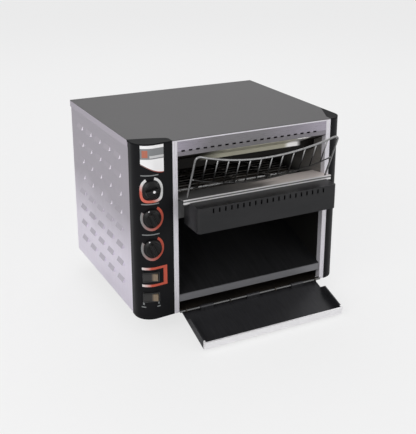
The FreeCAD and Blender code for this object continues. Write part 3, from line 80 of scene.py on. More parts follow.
class Finish:
    """A material for one kind of surface, with the node calls that build it."""

    def __init__(self, name, metallic=0.0, gloss=0.5):
        self.material = bpy.data.materials.new(name)
        self.material.use_nodes = True
        self.tree = self.material.node_tree
        self.shader = self.tree.nodes["Principled BSDF"]
        self.set("Metallic", metallic)
        self.set("Specular IOR Level", gloss)

    def set(self, name, value):
        self.feed(self.shader.inputs[name], value)

    def feed(self, socket, value):
        if isinstance(value, Value):
            self.tree.links.new(value.socket, socket)
        else:
            socket.default_value = value

    def node(self, kind, settings, sockets, output=0):
        node = self.tree.nodes.new(kind)
        for name, value in settings.items():
            if name == "stops":
                stops = node.color_ramp.elements
                for index, (place, colour) in enumerate(value):
                    stop = stops[index] if index < 2 else stops.new(place)
                    stop.position = place
                    stop.color = colour
            else:
                setattr(node, name, value)
        for key, value in sockets.items():
            self.feed(node.inputs[key], value)
        return Value(self, node.outputs[output])

    def place(self, part=None):
        """The point on the object in metres, or one of its parts: X, Y or Z."""
        point = self.node("ShaderNodeTexCoord", {}, {}, "Object")
        if part is None:
            return point
        return self.node("ShaderNodeSeparateXYZ", {}, {0: point}, part)

    def share(self, part, low, high):
        """How far the point lies from low to high along X, Y or Z."""
        return (self.place(part) - low) * (1 / (high - low))

    def facing(self, part):
        """How far the surface looks along X, Y or Z."""
        normal = self.node("ShaderNodeNewGeometry", {}, {}, "Normal")
        return self.node("ShaderNodeSeparateXYZ", {}, {0: normal}, part)

    def noise(self, scale, stretch=None):
        """Noise over the object; a stretch makes it run long in one direction."""
        point = self.place()
        if stretch:
            point = self.node("ShaderNodeMapping", {}, {"Vector": point, "Scale": stretch})
        return self.node("ShaderNodeTexNoise", {}, {"Vector": point, "Scale": scale, "Detail": 3.0})

    def ramp(self, value, stops):
        return self.node("ShaderNodeValToRGB", {"stops": stops}, {0: value})

    def blend(self, share, first, second):
        return self.node("ShaderNodeMix", {"data_type": "RGBA"}, {0: share, 6: first, 7: second}, 2)

    def colour(self, share, first, second):
        """The surface's colour, between two colours by a share."""
        self.set("Base Color", self.blend(share, first, second))

    def rough(self, value):
        self.set("Roughness", value)

    def bump(self, height, strength, distance=0.0003):
        relief = {"Strength": strength, "Distance": distance, "Height": height}
        self.set("Normal", self.node("ShaderNodeBump", {}, relief))

    def put_on(self, *names):
        for name in names:
            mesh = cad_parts[name].data
            mesh.materials.clear()
            mesh.materials.append(self.material)


def grey(level, warmth=0.0):
    return (level * (1 + warmth), level, level * (1 - warmth), 1.0)


# The side sheets are painted lighter towards the bottom, a painted reflection of the pale floor over their
# own darker upper tone.
side_dark = (0.43, 0.4, 0.445, 1.0)
side_painted_floor_reflection = (0.88, 0.83, 0.93, 1.0)
# The next two colours are a painted highlight on the louvres' front ends in the upper half and painted shade
# on their sloping tops in the lower half.
side_painted_louvre_highlight = (0.95, 0.92, 0.97, 1.0)
side_painted_louvre_shade = (0.36, 0.34, 0.38, 1.0)
brush_run = (60.0, 60.0, 3.0)
side_fade_low, side_fade_high = 0.28, 0.58
hood_fade_low, hood_fade_high = 0.38, 0.56
panel_low, panel_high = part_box("left_side_panel")

side_finish = Finish("side_steel")
side_grain = side_finish.noise(12.0, brush_run)
side_cloud = side_finish.noise(9.0)
side_rise = side_finish.share("Z", panel_low.z, panel_high.z)
side_reflection_tone = side_finish.ramp(side_rise + side_cloud * 0.24 - 0.12,
                             [(side_fade_low, side_painted_floor_reflection), (side_fade_high, side_dark)])
side_sheet = side_finish.blend(side_grain * 0.25, side_reflection_tone, side_dark)
side_upper = side_finish.ramp(side_rise, [(hood_fade_low, grey(0.0)), (hood_fade_high, grey(1.0))])
# These masks place the painted louvre highlight, where the metal is also made non-metallic, and the painted
# louvre shade.
side_louvre_highlight_mask = (side_finish.facing("Y") < -0.5) * side_upper
side_louvre_shade_mask = (side_finish.facing("Z") > 0.2) * (1 - side_upper)
side_sheet = side_finish.blend(side_louvre_shade_mask * 0.6, side_sheet, side_painted_louvre_shade)
side_finish.colour(side_louvre_highlight_mask, side_sheet, side_painted_louvre_highlight)
side_finish.set("Metallic", 0.75 - side_louvre_highlight_mask * 0.75)
side_finish.rough(side_grain * 0.14 + 0.26)
side_finish.bump(side_grain, 0.12, 0.0004)
side_finish.put_on("left_side_panel", "right_side_panel", "rear_panel")


# Top cover: one folded sheet, satin grey above, with the grain running across the toaster.
# Its edges turn down over the side panels and the back, and are brushed like them.
cover_grey = (0.105, 0.103, 0.104, 1.0)
cover_pale = (0.155, 0.152, 0.153, 1.0)
cover_low, cover_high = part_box("top_cover")
cover_skin = 0.0011
cover_finish = Finish("cover_steel", gloss=0.08)
cover_grain = cover_finish.noise(12.0, (3.0, 60.0, 60.0))
cover_cloud = cover_finish.noise(5.0)
cover_face = cover_finish.blend(cover_grain * 0.3 + cover_cloud * 0.3, cover_grey, cover_pale)
cover_fold = cover_finish.place("Z") < cover_high.z - cover_skin
cover_finish.colour(cover_fold, cover_face, side_dark)
cover_finish.rough(cover_grain * 0.12 + 0.44)
cover_finish.bump(cover_grain, 0.08)
cover_finish.put_on("top_cover")


# Floor pan, chamber walls, reflectors and baffles: bare heat-tinted steel.
# The walls stand on the pan and carry the shafts; straw tints lie in random patches.
# The steel is darkened nearly to black to paint the shade inside the chamber; the straw patches are its heat
# tint.
chamber_steel = (0.022, 0.021, 0.02, 1.0)
straw_tint = (0.06, 0.045, 0.03, 1.0)
chamber_finish = Finish("chamber_steel", 0.6)
chamber_cloud = chamber_finish.noise(14.0)
chamber_grain = chamber_finish.noise(10.0, (4.0, 4.0, 70.0))
chamber_finish.colour(chamber_cloud * chamber_cloud, chamber_steel, straw_tint)
chamber_finish.rough(chamber_grain * 0.2 + 0.3)
chamber_finish.bump(chamber_grain, 0.1)
chamber_finish.put_on("base_pan", "upper_reflector", "lower_reflector", "rear_baffle", "motor_bracket")

# Above a height the walls turn to a painted highlight on the shiny upper walls; below it they keep the
# painted chamber shade.
wall_painted_highlight = (0.34, 0.32, 0.3, 1.0)
wall_turn = 0.225
wall_fade = 40.0
wall_finish = Finish("wall_steel", 0.5)
wall_grain = wall_finish.noise(8.0, (4.0, 6.0, 70.0))
wall_rise = (wall_finish.place("Z") - wall_turn) * wall_fade
wall_highlight_tone = wall_finish.ramp(wall_rise, [(0.0, chamber_steel), (1.0, wall_painted_highlight)])
wall_finish.colour(wall_grain * 0.5, wall_highlight_tone, chamber_steel)
wall_finish.rough(wall_grain * 0.2 + 0.25)
wall_finish.put_on("left_inner_wall", "right_inner_wall")

baffle_straw = (0.48, 0.465, 0.37, 1.0)
# Near the right end a near-white patch is a painted highlight, where the metal is also made more metallic;
# the straw band is heat tint.
baffle_painted_glint = (0.95, 0.94, 0.92, 1.0)
baffle_grey = (0.008, 0.007, 0.006, 1.0)
baffle_low, baffle_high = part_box("front_baffle")
baffle_tint_foot = 0.010
baffle_glint_from, baffle_glint_to = 0.8, 0.88
baffle_finish = Finish("baffle_steel", gloss=0.12)
baffle_cloud = baffle_finish.noise(3.0, (6.0, 20.0, 60.0))
baffle_above = baffle_finish.place("Z") > baffle_low.z + baffle_tint_foot
baffle_run = baffle_finish.share("X", baffle_low.x, baffle_high.x)
baffle_tint = baffle_finish.ramp(baffle_run, [
    (0.2, baffle_grey), (0.9, baffle_grey), (0.34, baffle_straw), (0.78, baffle_straw),
    (0.81, baffle_painted_glint), (0.87, baffle_painted_glint)])
baffle_finish.colour(baffle_above, baffle_grey, baffle_tint)
baffle_glint_patch = (baffle_run > baffle_glint_from) * (baffle_run < baffle_glint_to) * baffle_above
baffle_finish.set("Metallic", baffle_glint_patch * 0.7 + 0.1)
baffle_finish.rough(baffle_cloud * 0.25 + 0.2)
baffle_finish.put_on("front_baffle")


# Discharge chute: a steel slide, curved up at the back and worn dark by crumbs and oil.
# It lies on the pan, between the chamber's walls.
chute_black = (0.014, 0.014, 0.015, 1.0)
chute_worn = (0.05, 0.05, 0.053, 1.0)
chute_bare = (0.2, 0.2, 0.21, 1.0)
chute_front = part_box("discharge_chute")[0].y
chute_fold = 0.0016
chute_finish = Finish("chute_black", 0.5)
chute_streak = chute_finish.noise(4.0, (50.0, 4.0, 4.0))
chute_floor = chute_finish.blend(chute_streak * 0.7, chute_black, chute_worn)
chute_lip = chute_finish.place("Y") < chute_front + chute_fold
chute_finish.colour(chute_lip, chute_floor, chute_bare)
chute_finish.rough(chute_streak * 0.3 + 0.2)
chute_finish.bump(chute_streak, 0.1, 0.0004)
chute_finish.put_on("discharge_chute")


# Trims and header: bright brushed strips that frame the opening.
# The trims are folded round the opening's edges, the header is slotted for air.
trim_pale = (0.78, 0.76, 0.8, 1.0)
trim_dull = (0.62, 0.6, 0.64, 1.0)
trim_finish = Finish("trim_steel", 0.3)
trim_grain = trim_finish.noise(10.0, (240.0, 240.0, 4.0))
trim_finish.colour(trim_grain, trim_dull, trim_pale)
trim_finish.rough(trim_grain * 0.18 + 0.2)
trim_finish.bump(trim_grain, 0.03, 0.0001)
trim_finish.put_on("left_trim", "right_trim")

# The header's ends are painted lighter than its middle, a painted reflection, and a painted highlight runs
# along its top fold; it is darker along the vent row.
header_painted_highlight = (0.8, 0.78, 0.82, 1.0)
header_lilac = (0.36, 0.33, 0.39, 1.0)
header_grey = (0.17, 0.165, 0.17, 1.0)
header_dull = (0.13, 0.125, 0.12, 1.0)
header_vent_line, header_fold_line = 0.3, 0.93
header_low, header_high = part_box("front_header")
header_finish = Finish("header_steel", 0.4)
header_grain = header_finish.noise(8.0, (5.0, 260.0, 260.0))
header_rise = header_finish.share("Z", header_low.z, header_high.z)
header_run = header_finish.share("X", header_low.x, header_high.x)
header_reflection_tone = header_finish.ramp(header_run, [
    (0.0, header_lilac), (1.0, header_lilac), (0.22, header_grey), (0.55, header_grey)])
header_tone = header_finish.blend((header_rise < header_vent_line) * 0.6, header_reflection_tone, header_dull)
header_tone = header_finish.blend(header_rise > header_fold_line, header_tone, header_painted_highlight)
header_finish.colour(header_grain * 0.2, header_tone, header_lilac)
header_finish.rough(header_grain * 0.2 + 0.2)
header_finish.bump(header_grain, 0.03, 0.0001)
header_finish.put_on("front_header")


# Front columns and their caps: pressed steel in satin black powder coat.
# The left one is bowed and carries the controls; each is closed by a flat cap.
column_black = (0.004, 0.004, 0.005, 1.0)
column_soft = (0.012, 0.012, 0.013, 1.0)
column_finish = Finish("black_column", gloss=0.08)
column_peel = column_finish.noise(900.0)
column_dust = column_finish.noise(18.0)
column_finish.colour(column_dust, column_black, column_soft)
column_finish.rough(column_dust * 0.12 + 0.3)
column_finish.bump(column_peel, 0.06, 0.0002)
column_finish.put_on("control_column", "right_column")
cap_finish = Finish("column_cap", gloss=0.05)
cap_finish.colour(cap_finish.noise(18.0), column_black, column_soft)
cap_finish.rough(0.6)
cap_finish.bump(cap_finish.noise(900.0), 0.06, 0.0002)
cap_finish.put_on("left_column_cap", "right_column_cap")


# Printing on the control column: a ring and a rule for each dial, and a bracket round the upper switch.
# It is ink on the powder coat, fading from grey to coral; it follows the bowed skin.
skin_left = cover_low.x
skin_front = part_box("left_trim")[0].y
skin_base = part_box("base_pan")[0].z
column_width = 0.065
column_radius = 0.029
column_bow = math.radians(4.6)
column_proud = 0.0003
ink_depth = 0.00012
ink_lift = 0.00005
ink_lanes = 5
ink_turn_fade = 60.0
dial_x = 0.024
dial_levels = {}
for name in ("speed", "top_heat", "bottom_heat"):
    knob_low, knob_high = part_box(name + "_knob")
    dial_levels[name] = (knob_low.z + knob_high.z) / 2 - skin_base
ring_half_width = 0.0208
ring_half_height = 0.0226
ring_stroke = 0.0046
ring_shift = 0.0012
ring_drop = 0.0013
ring_steps = 72
ring_round, ring_square = 2.0, 3.6
speed_ring_from, speed_ring_to = -240, 75
heat_ring_from, heat_ring_to = -210, 60
rule_rise = 0.0256
rule_left, rule_right, rule_half = 0.009, 0.038, 0.0009


def column_skin(across):
    """How far the column's skin lies behind the trims, at a distance from its outer side."""
    run = (column_width - column_radius - column_radius * math.sin(column_bow)) / math.cos(column_bow)
    centre = column_radius * math.cos(column_bow) - run * math.sin(column_bow) - column_proud
    turn_end = column_radius + column_radius * math.sin(column_bow)
    if across < turn_end:
        return centre - math.sqrt(column_radius ** 2 - (column_radius - across) ** 2)
    return centre - column_radius * math.cos(column_bow) + (across - turn_end) * math.tan(column_bow)


def placed(name, data):
    """A new object at the origin with this mesh, curve, lamp or camera."""
    piece = bpy.data.objects.new(name, data)
    bpy.context.scene.collection.objects.link(piece)
    return piece


def shaped(name, mesh, *finishes):
    """The object that a bmesh makes, with its finishes in their order."""
    data = bpy.data.meshes.new(name)
    mesh.to_mesh(data)
    mesh.free()
    for finish in finishes:
        data.materials.append(finish.material)
    return placed(name, data)


def skinned(mesh, rings):
    """Closes a row of rings of points into a tube with two ends."""
    mesh.faces.new(rings[0])
    mesh.faces.new(rings[-1][::-1])
    for ring, after in zip(rings, rings[1:]):
        for first in range(len(ring)):
            second = (first + 1) % len(ring)
            mesh.faces.new((ring[first], after[first], after[second], ring[second]))


def printed(name, stations, finish, depth=ink_depth):
    """A thin closed strip on the column's skin through pairs of (across, up) points."""
    mesh = bmesh.new()
    rows = []
    for near, far in stations:
        tops, feet = [], []
        for step in range(ink_lanes + 1):
            across = near[0] + (far[0] - near[0]) * step / ink_lanes
            up = near[1] + (far[1] - near[1]) * step / ink_lanes
            skin = skin_front + column_skin(across)
            for lift, run in ((ink_lift + depth, tops), (-ink_lift, feet)):
                run.append(mesh.verts.new((skin_left + across, skin - lift, skin_base + up)))
        rows.append(tops + feet[::-1])
    skinned(mesh, rows)
    bmesh.ops.recalc_face_normals(mesh, faces=mesh.faces)
    piece = shaped(name, mesh, finish)
    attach(piece, "case")
    return piece


def line(start, end, half, steps=8):
    """Stations of a straight stroke between two (across, up) points."""
    run, rise = end[0] - start[0], end[1] - start[1]
    length = math.hypot(run, rise)
    side = (-rise / length * half, run / length * half)
    stations = []
    for step in range(steps + 1):
        across = start[0] + run * step / steps
        up = start[1] + rise * step / steps
        stations.append(((across + side[0], up + side[1]), (across - side[0], up - side[1])))
    return stations


def ink(name, cold, hot, left, right, turn=None):
    """Ink that runs from cold on the left to hot on the right, and upwards too above a turning height."""
    finish = Finish(name, gloss=0.25)
    share = finish.share("X", skin_left + left, skin_left + right)
    if turn is not None:
        share = share + (finish.place("Z") - (skin_base + turn)) * ink_turn_fade
    grain = finish.noise(700.0)
    tone = finish.ramp(share + grain * 0.2 - 0.1, [(0.0, cold), (1.0, hot)])
    finish.set("Base Color", tone)
    finish.rough(grain * 0.2 + 0.3)
    return finish


ink_white = (0.72, 0.72, 0.71, 1.0)
ink_grey = (0.22, 0.23, 0.23, 1.0)
ink_coral = (0.5, 0.085, 0.05, 1.0)
ink_red = (0.6, 0.13, 0.09, 1.0)
heat_ink = ink("heat_ink", ink_grey, ink_coral, 0.008, 0.036)
speed_ink = ink("speed_ink", ink_red, ink_white, 0.008, 0.026, dial_levels["speed"] - 0.004)
rule_ink = ink("rule_ink", ink_grey, ink_grey, 0.0, 0.05)


def skin_across(run):
    """How far from the column's outer side a point is that lies a run along the skin from the dials."""
    angle = math.asin((column_radius - dial_x) / column_radius) - run / column_radius
    if angle > -column_bow:
        return column_radius - column_radius * math.sin(angle)
    return column_radius + column_radius * math.sin(column_bow) - (angle + column_bow) * column_radius


def ring_stations(level, start, end, square_foot):
    """A ring round a dial; with a square foot its lower half runs out into a flat bottom."""
    stations = []
    for step in range(ring_steps + 1):
        angle = math.radians(start + (end - start) * step / ring_steps)
        cos, sin = math.cos(angle), math.sin(angle)
        power = ring_square if square_foot and sin < 0 else ring_round
        reach = (abs(cos) ** power + abs(sin) ** power) ** (-1 / power)
        ring = []
        for half_width, half_height in ((ring_half_width, ring_half_height),
                                        (ring_half_width - ring_stroke, ring_half_height - ring_stroke)):
            ring.append((skin_across(ring_shift + half_width * reach * cos),
                         level - ring_drop + half_height * reach * sin))
        stations.append(tuple(ring))
    return stations


printed("speed_ring", ring_stations(dial_levels["speed"], speed_ring_from, speed_ring_to, True), speed_ink)
for name in ("top_heat", "bottom_heat"):
    printed(name + "_ring", ring_stations(dial_levels[name], heat_ring_from, heat_ring_to, False), heat_ink)
for name, level in dial_levels.items():
    rule_level = level - ring_drop + rule_rise
    printed(name + "_rule", line((rule_left, rule_level), (rule_right, rule_level), rule_half), rule_ink)

bracket_ink = ink("bracket_ink", ink_white, ink_coral, 0.006, 0.022)
bracket_left, bracket_right = 0.0075, 0.0478
bracket_low, bracket_high = 0.0652, 0.0972
bracket_half, bracket_side_half = 0.0022, 0.0036
bracket_steps, bracket_side_steps = 16, 4
bracket_side_depth = ink_depth * 1.5
for name, up in (("bracket_top", bracket_high), ("bracket_bottom", bracket_low)):
    printed(name, line((bracket_left, up), (bracket_right, up), bracket_half, bracket_steps), bracket_ink)
bracket_side = line((bracket_right, bracket_low - bracket_half), (bracket_right, bracket_high + bracket_half),
                    bracket_side_half, bracket_side_steps)
printed("bracket_side", bracket_side, bracket_ink, bracket_side_depth)

tick_places = (0.009, 0.034)
tick_low, tick_high, tick_half = 0.0285, 0.0335, 0.0011
dash_up, dash_reach, dash_half = 0.024, 0.003, 0.0009
tick_steps = 3
for index, across in enumerate(tick_places):
    tick = line((across, tick_low), (across, tick_high), tick_half, tick_steps)
    dash = line((across - dash_reach, dash_up), (across + dash_reach, dash_up), dash_half, tick_steps)
    printed("feed_tick_%d" % index, tick, rule_ink)
    printed("feed_dash_%d" % index, dash, rule_ink)


# Badge: a thin aluminium plate glued to the top of the column, left without any name.
# Its foot is cut in a shallow curve; a plain band and a plain block take the printing's place.
badge_left, badge_right = 0.009, 0.048
badge_top = 0.3175
badge_foot_left, badge_foot_right = 0.286, 0.2705
badge_line_low, badge_line_high = 0.0016, 0.0004
badge_steps = 24
badge_depth = 0.0009

badge_white = (0.84, 0.83, 0.83, 1.0)
badge_grey = (0.2, 0.205, 0.21, 1.0)
badge_warm = (0.42, 0.13, 0.08, 1.0)
badge_print_left, badge_print_low = 0.011, 0.294
badge_band_height = 0.0185
badge_block_low, badge_block_high, badge_block_width = 0.003, 0.0155, 0.0085
badge_bar_left, badge_bar_low, badge_bar_high = 0.0115, 0.002, 0.006
badge_finish = Finish("badge_face")
badge_up = badge_finish.place("Z") - (skin_base + badge_print_low)
badge_over = badge_finish.place("X") - (skin_left + badge_print_left)
badge_band = (badge_up > 0.0) * (badge_up < badge_band_height)
badge_block = (badge_up > badge_block_low) * (badge_up < badge_block_high)
badge_block = badge_block * (badge_over > 0.0) * (badge_over < badge_block_width)
badge_bars = (badge_over > badge_bar_left) * (badge_up > badge_bar_low) * (badge_up < badge_bar_high)
badge_tone = badge_finish.blend(badge_band, badge_white, badge_grey)
badge_tone = badge_finish.blend(badge_bars * 0.55, badge_tone, badge_white)
badge_finish.colour(badge_block, badge_tone, badge_warm)
badge_finish.rough(badge_finish.noise(400.0) * 0.15 + 0.24)

badge_stations = []
under_stations = []
for step in range(badge_steps + 1):
    share = step / badge_steps
    across = badge_left + (badge_right - badge_left) * share
    foot = badge_foot_left + (badge_foot_right - badge_foot_left) * math.sin(share * math.pi / 2)
    badge_stations.append(((across, foot), (across, badge_top)))
    under_stations.append(((across, foot - badge_line_low), (across, foot - badge_line_high)))
badge = printed("badge_sheet", badge_stations, badge_finish, badge_depth)
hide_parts("badge_plate")
printed("badge_line", under_stations, ink("line_ink", ink_grey, ink_coral, 0.0, 0.04))


# Dial knobs: moulded black phenolic with a skirt, a raised grip bar and a white dot: a pointer on the heat
# knobs, a painted glare on the speed knob.
# Each is pushed on to its control's shaft and turns with it.
knob_skirt = 0.016
knob_body = 0.0125
knob_top = 0.0113
knob_height = 0.013
knob_face = 0.0055
knob_gap = 0.0028
grip_half = 0.0036
grip_taper = 0.82
grip_top_share, grip_foot_share = 0.96, 1.04
grip_sink = 0.001
grip_round = 0.0011
dot_height, dot_lift, dot_taper = 0.0006, 0.0002, 0.8
dot_sides = 20
speed_turn, heat_turn = 75, -22
knob_sides = 48
knob_profile = [(knob_skirt - 0.0006, 0.0), (knob_skirt, 0.0006), (knob_skirt, 0.0018),
                (knob_skirt - 0.0008, 0.0028), (knob_body + 0.001, 0.0034), (knob_body, 0.0042),
                (knob_body - 0.0004, knob_face), (knob_body - 0.0016, knob_face + 0.0006)]
# The speed knob's big white dot near the middle of its face is a painted glare, not a pointer.
speed_glare_dot = (0.0025, knob_height, 0.0024)
heat_mark = (0.0143, 0.0028, 0.0014)

knob_finish = Finish("knob_black", gloss=0.2)
knob_speck = knob_finish.noise(600.0)
knob_finish.colour(knob_speck, grey(0.004), grey(0.01))
knob_finish.rough(knob_speck * 0.2 + 0.24)
knob_finish.bump(knob_speck, 0.05, 0.0001)


def speckled(name, roughness, metallic, scale, low, high, strength=0.0, distance=0.0003, spread=0.0):
    """A finish that wavers finely between two colours; its grain may stand in relief or roughen it."""
    finish = Finish(name, metallic)
    grain = finish.noise(scale)
    finish.colour(grain, low, high)
    finish.rough(grain * spread + roughness if spread else roughness)
    if strength:
        finish.bump(grain, strength, distance)
    return finish


def smooth_sides(mesh):
    """Shades the four-cornered faces smooth and leaves the caps flat."""
    for polygon in mesh.polygons:
        polygon.use_smooth = len(polygon.vertices) == 4


dot_finish = speckled("pointer_white", 0.4, 0.0, 500.0, grey(0.7), grey(0.82))


def knob(name, level, turn, mark_reach, mark_height, mark_radius):
    """A knob with its grip turned clockwise from straight up, and a white mark on it."""
    mesh = bmesh.new()
    rings = []
    for radius, height in knob_profile:
        ring = []
        for side in range(knob_sides):
            angle = 2 * math.pi * side / knob_sides
            ring.append(mesh.verts.new((radius * math.cos(angle), radius * math.sin(angle), height)))
        rings.append(ring)
    skinned(mesh, rings)
    grip = bmesh.ops.create_cube(mesh, size=1.0)["verts"]
    for vert in grip:
        above = vert.co.z > 0
        vert.co.x *= 2 * grip_half * (grip_taper if above else 1.0)
        vert.co.y *= 2 * knob_top * (grip_top_share if above else grip_foot_share)
        vert.co.z = knob_height if above else knob_face - grip_sink
    edges = {edge for vert in grip for edge in vert.link_edges}
    bmesh.ops.bevel(mesh, geom=list(edges), offset=grip_round, segments=3, affect="EDGES", profile=0.5)
    dot = bmesh.ops.create_cone(mesh, cap_ends=True, segments=dot_sides, radius1=mark_radius,
                                radius2=mark_radius * dot_taper, depth=dot_height)["verts"]
    for vert in dot:
        vert.co += Vector((0, mark_reach, mark_height + dot_lift))
        for face in vert.link_faces:
            face.material_index = 1
    bmesh.ops.recalc_face_normals(mesh, faces=mesh.faces)
    lean = math.asin((column_radius - dial_x) / column_radius)
    facing = Vector((-math.sin(lean), -math.cos(lean), 0))
    skin = Vector((skin_left + dial_x, skin_front + column_skin(dial_x), skin_base + level))
    right = Vector((math.cos(lean), -math.sin(lean), 0))
    axes = Matrix((right, Vector((0, 0, 1)), facing)).transposed().to_4x4()
    seat = Matrix.Translation(skin + facing * knob_gap)
    mesh.transform(seat @ axes @ Matrix.Rotation(-math.radians(turn), 4, "Z"))
    piece = shaped(name, mesh, knob_finish, dot_finish)
    smooth_sides(piece.data)
    return piece


for name, turn, mark in (("speed", speed_turn, speed_glare_dot), ("top_heat", heat_turn, heat_mark),
                         ("bottom_heat", heat_turn, heat_mark)):
    dial = knob(name + "_dial_knob", dial_levels[name], turn, *mark)
    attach(dial, name + "_dial")
    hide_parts(name + "_knob")


# Rocker switches: beige moulded keys in black snap-in bodies, below the dials.
# Each key tips about an upright pin and stands out on its right at rest.
# Left of the ridge the key is painted dark, painted shade on its sunken half; right of it the key shows its
# beige.
rocker_beige = (0.2, 0.15, 0.1, 1.0)
rocker_painted_shade = (0.02, 0.019, 0.018, 1.0)
rocker_ridge = 0.0205
rocker_fade = 260.0
rocker_finish = Finish("rocker_beige")
rocker_shade_share = (rocker_finish.place("X") - (skin_left + rocker_ridge)) * rocker_fade
rocker_finish.set("Base Color", rocker_finish.ramp(rocker_shade_share, [(0.0, rocker_painted_shade), (1.0, rocker_beige)]))
rocker_finish.rough(rocker_finish.noise(500.0) * 0.2 + 0.25)
rocker_finish.put_on("power_rocker", "feed_rocker")

plastic_finish = speckled("control_plastic", 0.45, 0.0, 800.0, grey(0.012), grey(0.026), 0.08, 0.0001)
plastic_finish.put_on("power_switch", "feed_switch", "speed_control", "top_heat_control",
                      "bottom_heat_control", "supply_gland", "fan_housing", "fan_rotor")


# Loader guard: a black box of sheet steel round the belt's front turn, slotted along its top edge.
# The coat is glossier than on the columns and catches light along the folds.
guard_black = (0.006, 0.006, 0.007, 1.0)
guard_soft = (0.018, 0.018, 0.019, 1.0)
guard_finish = Finish("guard_black", gloss=0.32)
guard_cloud = guard_finish.noise(2.0, (5.0, 20.0, 20.0))
guard_finish.colour(guard_cloud, guard_black, guard_soft)
guard_finish.rough(guard_cloud * 0.2 + 0.22)
guard_finish.bump(guard_finish.noise(900.0), 0.05, 0.0001)
guard_finish.put_on("loader_guard")
jamb_finish = Finish("jamb_steel", 0.5)
jamb_finish.colour(jamb_finish.noise(9.0, (80.0, 80.0, 4.0)), grey(0.05), grey(0.16))
jamb_finish.rough(0.35)
jamb_finish.put_on("guard_brackets")


# Loader shelf: a polished ramp over the guard, hemmed at its lip, with two welded sockets for the rack.
# Fine scratches run the way the bread slides.
# Across the ramp the colour runs from painted shade on the left to a warm painted reflection on the right;
# the hem's lip gets painted highlight lines with painted shade between them.
shelf_painted_highlight = (0.75, 0.74, 0.74, 1.0)
shelf_painted_shade = (0.1, 0.1, 0.1, 1.0)
shelf_mid = (0.24, 0.22, 0.21, 1.0)
shelf_painted_reflection = (0.97, 0.88, 0.84, 1.0)
shelf_low, shelf_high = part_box("loader_shelf")
shelf_lip = 0.0022
shelf_hem_height = 0.008
shelf_finish = Finish("polished_steel", 0.15)
shelf_scratch = shelf_finish.noise(6.0, (5.0, 90.0, 90.0))
shelf_cloud = shelf_finish.noise(1.6, (9.0, 40.0, 40.0))
shelf_run = shelf_finish.share("X", shelf_low.x, shelf_high.x)
shelf_light_ramp = shelf_finish.ramp(shelf_run + shelf_cloud * 0.3 - 0.15,
                               [(0.3, shelf_painted_shade), (0.68, shelf_painted_reflection), (0.52, shelf_mid)])
shelf_edge = shelf_finish.place("Y") < shelf_low.y + shelf_lip
shelf_hem = shelf_finish.share("Z", shelf_high.z, shelf_high.z - shelf_hem_height)
shelf_hem_highlights = shelf_finish.ramp(shelf_hem, [
    (0.0, shelf_painted_highlight), (1.0, shelf_painted_highlight), (0.2, shelf_painted_highlight), (0.34, shelf_painted_shade), (0.5, shelf_painted_shade),
    (0.66, shelf_painted_highlight)])
shelf_scratched_light = shelf_finish.blend(shelf_scratch * 0.15, shelf_light_ramp, shelf_mid)
shelf_finish.colour(shelf_edge, shelf_scratched_light, shelf_hem_highlights)
shelf_finish.rough(shelf_scratch * 0.22 + 0.28)
shelf_finish.bump(shelf_scratch, 0.05, 0.0002)
shelf_finish.put_on("loader_shelf")


# Loading rack: bright plated wire, one frame with a sagging top, a cross wire and a row of welded bars.
# It plugs into the shelf's sockets and leans towards the person who loads it.
rack_mid = 0.018
rack_half = 0.1397
rack_lean = math.radians(23.1)
rack_leg = 0.09
rack_plug = -0.0105
rack_corner = 0.007
rack_bend = math.radians(20.5)
rack_wire = 0.0018
rack_bar_wire = 0.0011
rack_drop = 0.05
rack_bars = 12
rack_foot_reach, rack_foot_level = 0.016, 0.2191
rack_leg_line = 0.0182
rack_shade_from, rack_shade_to = 0.004, 0.03
corner_steps, sag_steps = 12, 48
rack_foot = Vector((rack_mid, skin_front - rack_foot_reach, skin_base + rack_foot_level))
rack_up = Vector((0, -math.sin(rack_lean), math.cos(rack_lean)))
rack_side_top = rack_leg - rack_corner * math.cos(rack_bend)
rack_span = rack_half - rack_corner * (1 + math.sin(rack_bend))
rack_sag = rack_span / math.sin(rack_bend)
rack_dip = rack_foot.z + (rack_side_top - rack_sag * (1 - math.cos(rack_bend))) * math.cos(rack_lean)
rack_curve = math.cos(rack_lean) / (2 * rack_sag)

rack_finish = Finish("rack_wire", 0.9)
rack_spots = rack_finish.noise(120.0)
# Below the sagging top wire the bars and cross wire are painted darker, painted shade; the legs keep their
# plating.
rack_across = rack_finish.place("X") - rack_mid
rack_square = rack_across * rack_across
rack_below = rack_square * rack_curve + rack_dip - rack_finish.place("Z")
rack_painted_shade = rack_finish.ramp(rack_below, [(rack_shade_from, grey(0.0)), (rack_shade_to, grey(1.0))])
rack_painted_shade = rack_painted_shade * (rack_square < rack_leg_line)
rack_plated = rack_finish.blend(rack_spots, grey(0.16), grey(0.36))
rack_finish.colour(rack_painted_shade, rack_plated, grey(0.035))
rack_finish.rough(rack_spots * 0.2 + 0.2)


def tree_node(tree, kind, settings, sockets):
    """Adds a node to a tree; its sockets take values or other nodes' outputs."""
    node = tree.nodes.new(kind)
    for name, value in settings.items():
        setattr(node, name, value)
    for key, value in sockets.items():
        if isinstance(value, bpy.types.NodeSocket):
            tree.links.new(value, node.inputs[key])
        else:
            node.inputs[key].default_value = value
    return node


def new_tree(name, sockets):
    """A node tree with named inputs; gives the tree, its input node and the inputs' identifiers."""
    tree = bpy.data.node_groups.new(name, "GeometryNodeTree")
    tree.interface.new_socket("Geometry", in_out="OUTPUT", socket_type="NodeSocketGeometry")
    tree.interface.new_socket("Geometry", in_out="INPUT", socket_type="NodeSocketGeometry")
    keys = {}
    for label, kind in sockets.items():
        keys[label] = tree.interface.new_socket(label, in_out="INPUT", socket_type=kind).identifier
    start = tree.nodes.new("NodeGroupInput")
    return tree, start, keys


